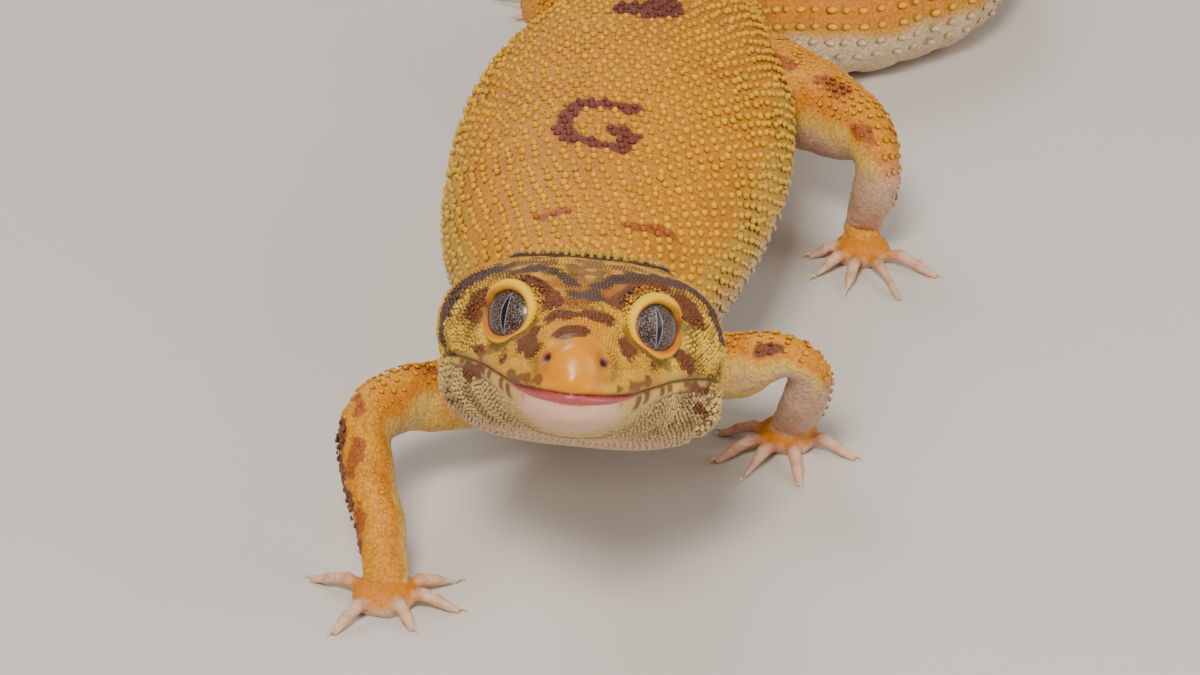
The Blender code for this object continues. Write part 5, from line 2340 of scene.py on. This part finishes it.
    def build_limbs(self) -> None:
        """Low tubercles on the upper sides of the legs, smaller towards the feet."""
        rng = np.random.default_rng(self.seed + 3)
        parts, sizes = [], []
        for number, limb in enumerate(self.skin.limbs):
            fine = np.linspace(0.6, limb.last - 0.5, 300)
            centres, _, _, half, _ = limb.axis(fine)
            reach = path_lengths(centres)
            u0, v0, width, height = self.skin.limb_box
            for ring, along in enumerate(np.arange(0.0, reach[-1], 0.92)):
                place, radius = np.interp(along, reach, fine), np.interp(along, reach, half)
                count = max(6, round(FULL_TURN * radius / 1.05))
                turn = (np.arange(count) + 0.5 * (ring % 2)) * FULL_TURN / count
                turn = turn + 0.12 * (rng.random(count) - 0.5)
                places = place + 0.04 * (rng.random(count) - 0.5)
                points, normals = limb.at(places, turn), limb.normal(places, turn)
                paint = self.skin.markings.of_limb(limb, places, points, normals)
                outer = normals @ unit(np.array(limb.outer))
                chosen = (outer > -0.15) & ~self.surface.holds(points) & (points[:, 2] > 1.2)
                share = places / limb.last
                patches = np.stack([u0 + number * 0.25 + width * np.mod(turn / FULL_TURN, 1),
                                    v0 + height * share], 1)
                tint = lay(self.pick_tint(paint, rng), Tone.TUBERCLE, 0.25 * (paint.mark < 0.4))
                ahead = unit(limb.at(places + 0.05, turn) - points)
                parts.append(rows_of(Roots(points, normals, ahead, patches, tint), chosen))
                size = (0.33 - 0.12 * share) * (0.7 + 0.5 * rng.random(count))
                sizes.append((size * ramp(-0.25, 0.3, outer))[chosen])
        size = np.concatenate(sizes)
        self.dress("leg_scales", "leg_skin", self.leg_scale, join(parts),
                   (size, size * 1.1, size * 0.5), rng, 0.2)


# ---- eyes, lids and claws

@dataclass(frozen=True)
class Eyes:
    """The two eyeballs and the lids round them."""

    surface: BodySurface
    placer: Placer
    lid_spread: float = 1.10
    lid_height: float = 3.16
    rings: int = 60
    around: int = 96
    lid_steps: int = 480
    lid_sides: int = 28
    notches: int = 46
    bead_rows: int = 60
    bead_columns: int = 6

    def build_ball(self, eye: EyePlace, name: str, finish: Material) -> None:
        """One eyeball in the place of its node.

        Rings stand round the line of sight; the ball's own map holds millimetres of arc from the
        middle of the pupil.

        Args:
            eye: The eye's place.
            name: Its node.
            finish: The iris and its wet film.
        """
        polar = np.linspace(0.0, math.pi, self.rings + 2)[1:-1, None]
        turn = even_turns(self.around)
        look, temporal, high = eye.gaze
        side = np.cos(turn)[:, None] * temporal + np.sin(turn)[:, None] * high
        ray = np.cos(polar)[..., None] * look + np.sin(polar)[..., None] * side
        rings = self.surface.spine.place(eye.centre + ray * eye.ball(ray)[..., None])
        ends = np.array([look, -look]) * eye.ball(look)
        net = tube([rings], self.surface.spine.place(eye.centre + ends),
                   np.linspace(0.02, 0.98, self.rings), (0.0, 0.0, 1.0, 1.0))
        if eye.side is Side.RIGHT:
            net.faces = [part[:, ::-1] for part in net.faces]
        net.patches = []
        mesh = self.placer.mesh(f"{name}_ball", net)
        arc, reach = polar * eye.radius, math.pi * eye.radius
        flat = np.stack([arc * np.cos(turn), arc * np.sin(turn)], -1).reshape(-1, 2)
        flat = np.concatenate([flat, [[0.0, 0.0], [reach, 0.0]]])
        corners = read(mesh.loops, "vertex_index", np.int32, 1)[:, 0]
        put_map(mesh, "Arc", flat[corners])
        put_map(mesh, BAKE_MAP, flat[corners] * 0.47 / reach + 0.5)
        self.placer.piece(f"{name}_ball", mesh, finish, "eye", (name,))

    def lid_net(self, eye: EyePlace) -> Net:
        """The roll of both lids: a ring of round sections along the rim of the opening.

        The upper lid is the thicker one. The sections' outer side is notched into small scales,
        and the two lids meet in a fold at the outer corner.

        Args:
            eye: The eye that the lids surround.

        Returns:
            The lids' net: yellow outside, orange inside, painted shade in its grooves and fold.
        """
        count, sides = self.lid_steps, self.lid_sides
        angle, turn = even_turns(count), even_turns(sides)
        aside = np.minimum(angle, FULL_TURN - angle)
        upper = ramp(-0.25, 0.35, np.sin(angle))
        corner = np.exp(-(aside / 0.22) ** 2)
        thick = 0.34 + 0.09 * upper - 0.05 * np.exp(-((angle - math.pi) / 0.8) ** 2)
        thick = thick * (1 - 0.45 * corner)
        spread = self.lid_spread + 0.04 * upper
        ray = eye.direction(angle, spread)
        centre = eye.centre + ray * (self.lid_height + 0.12 * upper + 0.1 * corner)[:, None]
        outward = unit(eye.direction(angle, spread + 0.1) - ray)
        notch = (0.5 + 0.5 * np.cos(angle * self.notches))[:, None]
        outer, front = np.clip(np.cos(turn), 0.0, 1.0), ramp(-0.9, -0.2, np.cos(turn))
        beads = np.cos(angle * self.bead_rows)[:, None] * np.cos(turn * self.bead_columns)
        ripple = (1 + 0.16 * (notch**0.5 - 0.5) * outer + 0.08 * beads * front) * thick[:, None]
        rings = (centre[:, None] + outward[:, None] * (np.cos(turn) * ripple * 1.25)[..., None]
                 + ray[:, None] * (np.sin(turn) * ripple)[..., None])
        order = [1, 2, 3, 0] if eye.side is Side.LEFT else [0, 3, 2, 1]
        faces, lines, columns = (part[:, order] for part in grid_faces(count + 1, sides))
        patches = np.stack([lines / count, 0.02 + 0.2 * columns / sides], -1)
        inner = ramp(-0.4, -0.95, np.cos(turn)) * (1 - 0.75 * upper[:, None])
        tint = layers(np.broadcast_to(Tone.LID, (count, sides, 3)),
                      (Tone.LID_INNER, inner),
                      (Tone.LID_INNER, 0.7 * np.exp(-(aside / 0.7) ** 2)[:, None]),
                      (Tone.RUST, 0.5 * ramp(-0.75, -1.0, np.cos(turn))),
                      # Painted shade in the notches, between the beads and in the fold of the outer
                      # corner.
                      (Tone.CRACK, 0.55 * (1 - notch) ** 3 * outer),
                      (Tone.CRACK, 0.4 * ramp(0.1, -0.7, beads) * front),
                      (Tone.CRACK, 0.7 * corner[:, None]))
        rings = self.surface.spine.place(rings).reshape(-1, 3)
        return Net(rings, [faces % len(rings)], [patches], Paint.plain(tint.reshape(-1, 3)))

    def build(self, iris: Material, lids: Material) -> None:
        """Both eyes.

        Args:
            iris: Finish of the balls.
            lids: Finish of the lids.
        """
        for eye in self.surface.eyes:
            side = eye.side.name.lower()
            self.build_ball(eye, f"eye_{side}", iris)
            mesh = self.placer.mesh(f"lids_{side}", self.lid_net(eye))
            self.placer.piece(f"lids_{side}", mesh, lids, "head_skin")


@dataclass(frozen=True)
class Claws:
    """Small hooked claws at the tips of the toes."""

    limbs: tuple[Limb, ...]
    placer: Placer
    length: float = 1.1
    radius: float = 0.2
    rings: int = 8
    sides: int = 8

    def build(self, finish: Material) -> None:
        """All claws as one piece: round sections that shrink along a downward curve.

        Args:
            finish: The horn.
        """
        part = np.linspace(0.0, 1.0, self.rings)[:, None]
        height = 0.34 + 0.28 * np.sin(math.pi * part) - 0.22 * part**2
        radius = self.radius * (1 - 0.85 * part**1.5)
        points, faces = [], []
        for limb in self.limbs:
            for index in range(len(limb.toes)):
                tip, along, wide = limb.toe(index)
                centre = tip + along * (self.length * part - 0.35) + UP * height
                rings = round_rings(centre, wide, radius * 0.7, radius, self.sides)
                ends = (centre[0], centre[-1] + along * 0.04)
                net = tube([rings], ends, part[:, 0], (0, 0, 1, 1))
                faces += [group + len(net.points) * len(points) for group in net.faces]
                points.append(net.points)
        net = Net(np.concatenate(points), faces, [])
        self.placer.piece("claws", self.placer.mesh("claws", net), finish, "foot_skin")


# ---- studio

@dataclass(frozen=True)
class Studio:
    """Pale floor, soft lights and the camera."""

    lens: float = 123.12
    sensor: float = 36.0
    look_down: float = math.radians(28)
    eye_point: Point = (1.667, -317.264, 195.133)
    floor_colour: Point = (0.62, 0.58, 0.53)
    floor_half: float = 1.6
    sky: float = 0.28
    sky_colour: Point = (1.0, 0.98, 0.95)
    lights_aim: Point = (0.0, -0.04, 0.02)

    def build(self, placer: Placer) -> None:
        """Floor, world, three soft lights and the camera.

        Args:
            placer: Places the camera in the model.
        """
        mesh = bpy.data.meshes.new("floor")
        half = self.floor_half
        mesh.from_pydata([(-half, -half, 0), (half, -half, 0), (half, half, 0), (-half, half, 0)],
                         [], [(0, 1, 2, 3)])
        g = Graph("floor")
        cloud = g.noise(g.millimetres(), 40.0, 2.0)
        g.set(Base_Color=g.shade(np.array(self.floor_colour), 0.97 + 0.06 * cloud), Roughness=0.85)
        mesh.materials.append(g.material)
        floor = link("floor", mesh)

        world = bpy.data.worlds.new("studio")
        bpy.context.scene.world = world
        world.use_nodes = True
        background = world.node_tree.nodes["Background"]
        background.inputs["Color"].default_value = (*self.sky_colour, 1.0)
        background.inputs["Strength"].default_value = self.sky
        self.light("key", (-0.08, -0.42, 0.44), 0.14, 3.5, (1.0, 0.95, 0.88))
        self.light("fill", (0.42, -0.16, 0.28), 0.35, 1.2, (1.0, 0.97, 0.94), 0.12)
        self.light("back", (-0.25, 0.45, 0.50), 0.35, 2.2, (1.0, 0.98, 0.96), 0.12)

        data = bpy.data.cameras.new("camera")
        data.lens, data.sensor_width = self.lens, self.sensor
        data.clip_start, data.clip_end = 0.01, 10.0
        camera = link("camera", data)
        camera.location = placer.to_model(np.array(self.eye_point))
        camera.rotation_euler = (math.pi / 2 - self.look_down, 0.0, 0.0)
        bpy.context.scene.camera = camera

    def light(self, name: str, place: Point, size: float, power: float, colour: Point,
              glint: float = 1.0) -> None:
        """A soft square light that faces the head; `glint` is its share in highlights.

        Args:
            name: The light's name.
            place: Where it hangs, in metres.
            size: Its side in metres.
            power: Watts.
            colour: Its colour.
            glint: Its share in highlights.
        """
        data = bpy.data.lights.new(name, "AREA")
        data.size, data.energy, data.color = size, power, colour
        data.specular_factor = glint
        made = link(name, data)
        made.location = place
        aim = Vector(self.lights_aim) - Vector(place)
        made.rotation_euler = aim.to_track_quat("-Z", "Y").to_euler()


def find_shift(surface: BodySurface) -> Array:
    """From the spine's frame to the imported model's: where the left eye's ball lies in both.

    Args:
        surface: The body's surface.

    Returns:
        The shift in millimetres.
    """
    low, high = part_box("eye_left")
    packed = (np.array(low) + np.array(high)) / 2 / MM
    return packed - surface.spine.place(surface.eyes[0].centre)


def corners(box: tuple[Vector, Vector]) -> list[list[float]]:
    """A box as plain lists."""
    return [list(corner) for corner in box]


def main() -> None:
    """Build the gecko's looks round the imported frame."""
    logging.basicConfig(level=logging.INFO, format="%(name)s: %(message)s")
    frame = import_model()
    surface = BodySurface()
    placer = Placer(find_shift(surface))
    Studio().build(placer)
    skin = Skin(surface, gecko_limbs(), Markings(surface), placer)
    flesh = tuple(sorted(name for name in frame["nodes"] if not name.startswith("eye_")))
    skin.build(SkinFinish().make("gecko_skin"), flesh)
    scales = ScaleFinish().make("gecko_scales")
    Eyes(surface, placer).build(IrisFinish().make("gecko_iris"), scales)
    coat = Coat(skin, scales)
    coat.build_head()
    coat.build_belly()
    coat.build_trunk()
    coat.build_limbs()
    Claws(skin.limbs, placer).build(HornFinish().make("claw_horn"))


if __name__ == "__main__":
    main()
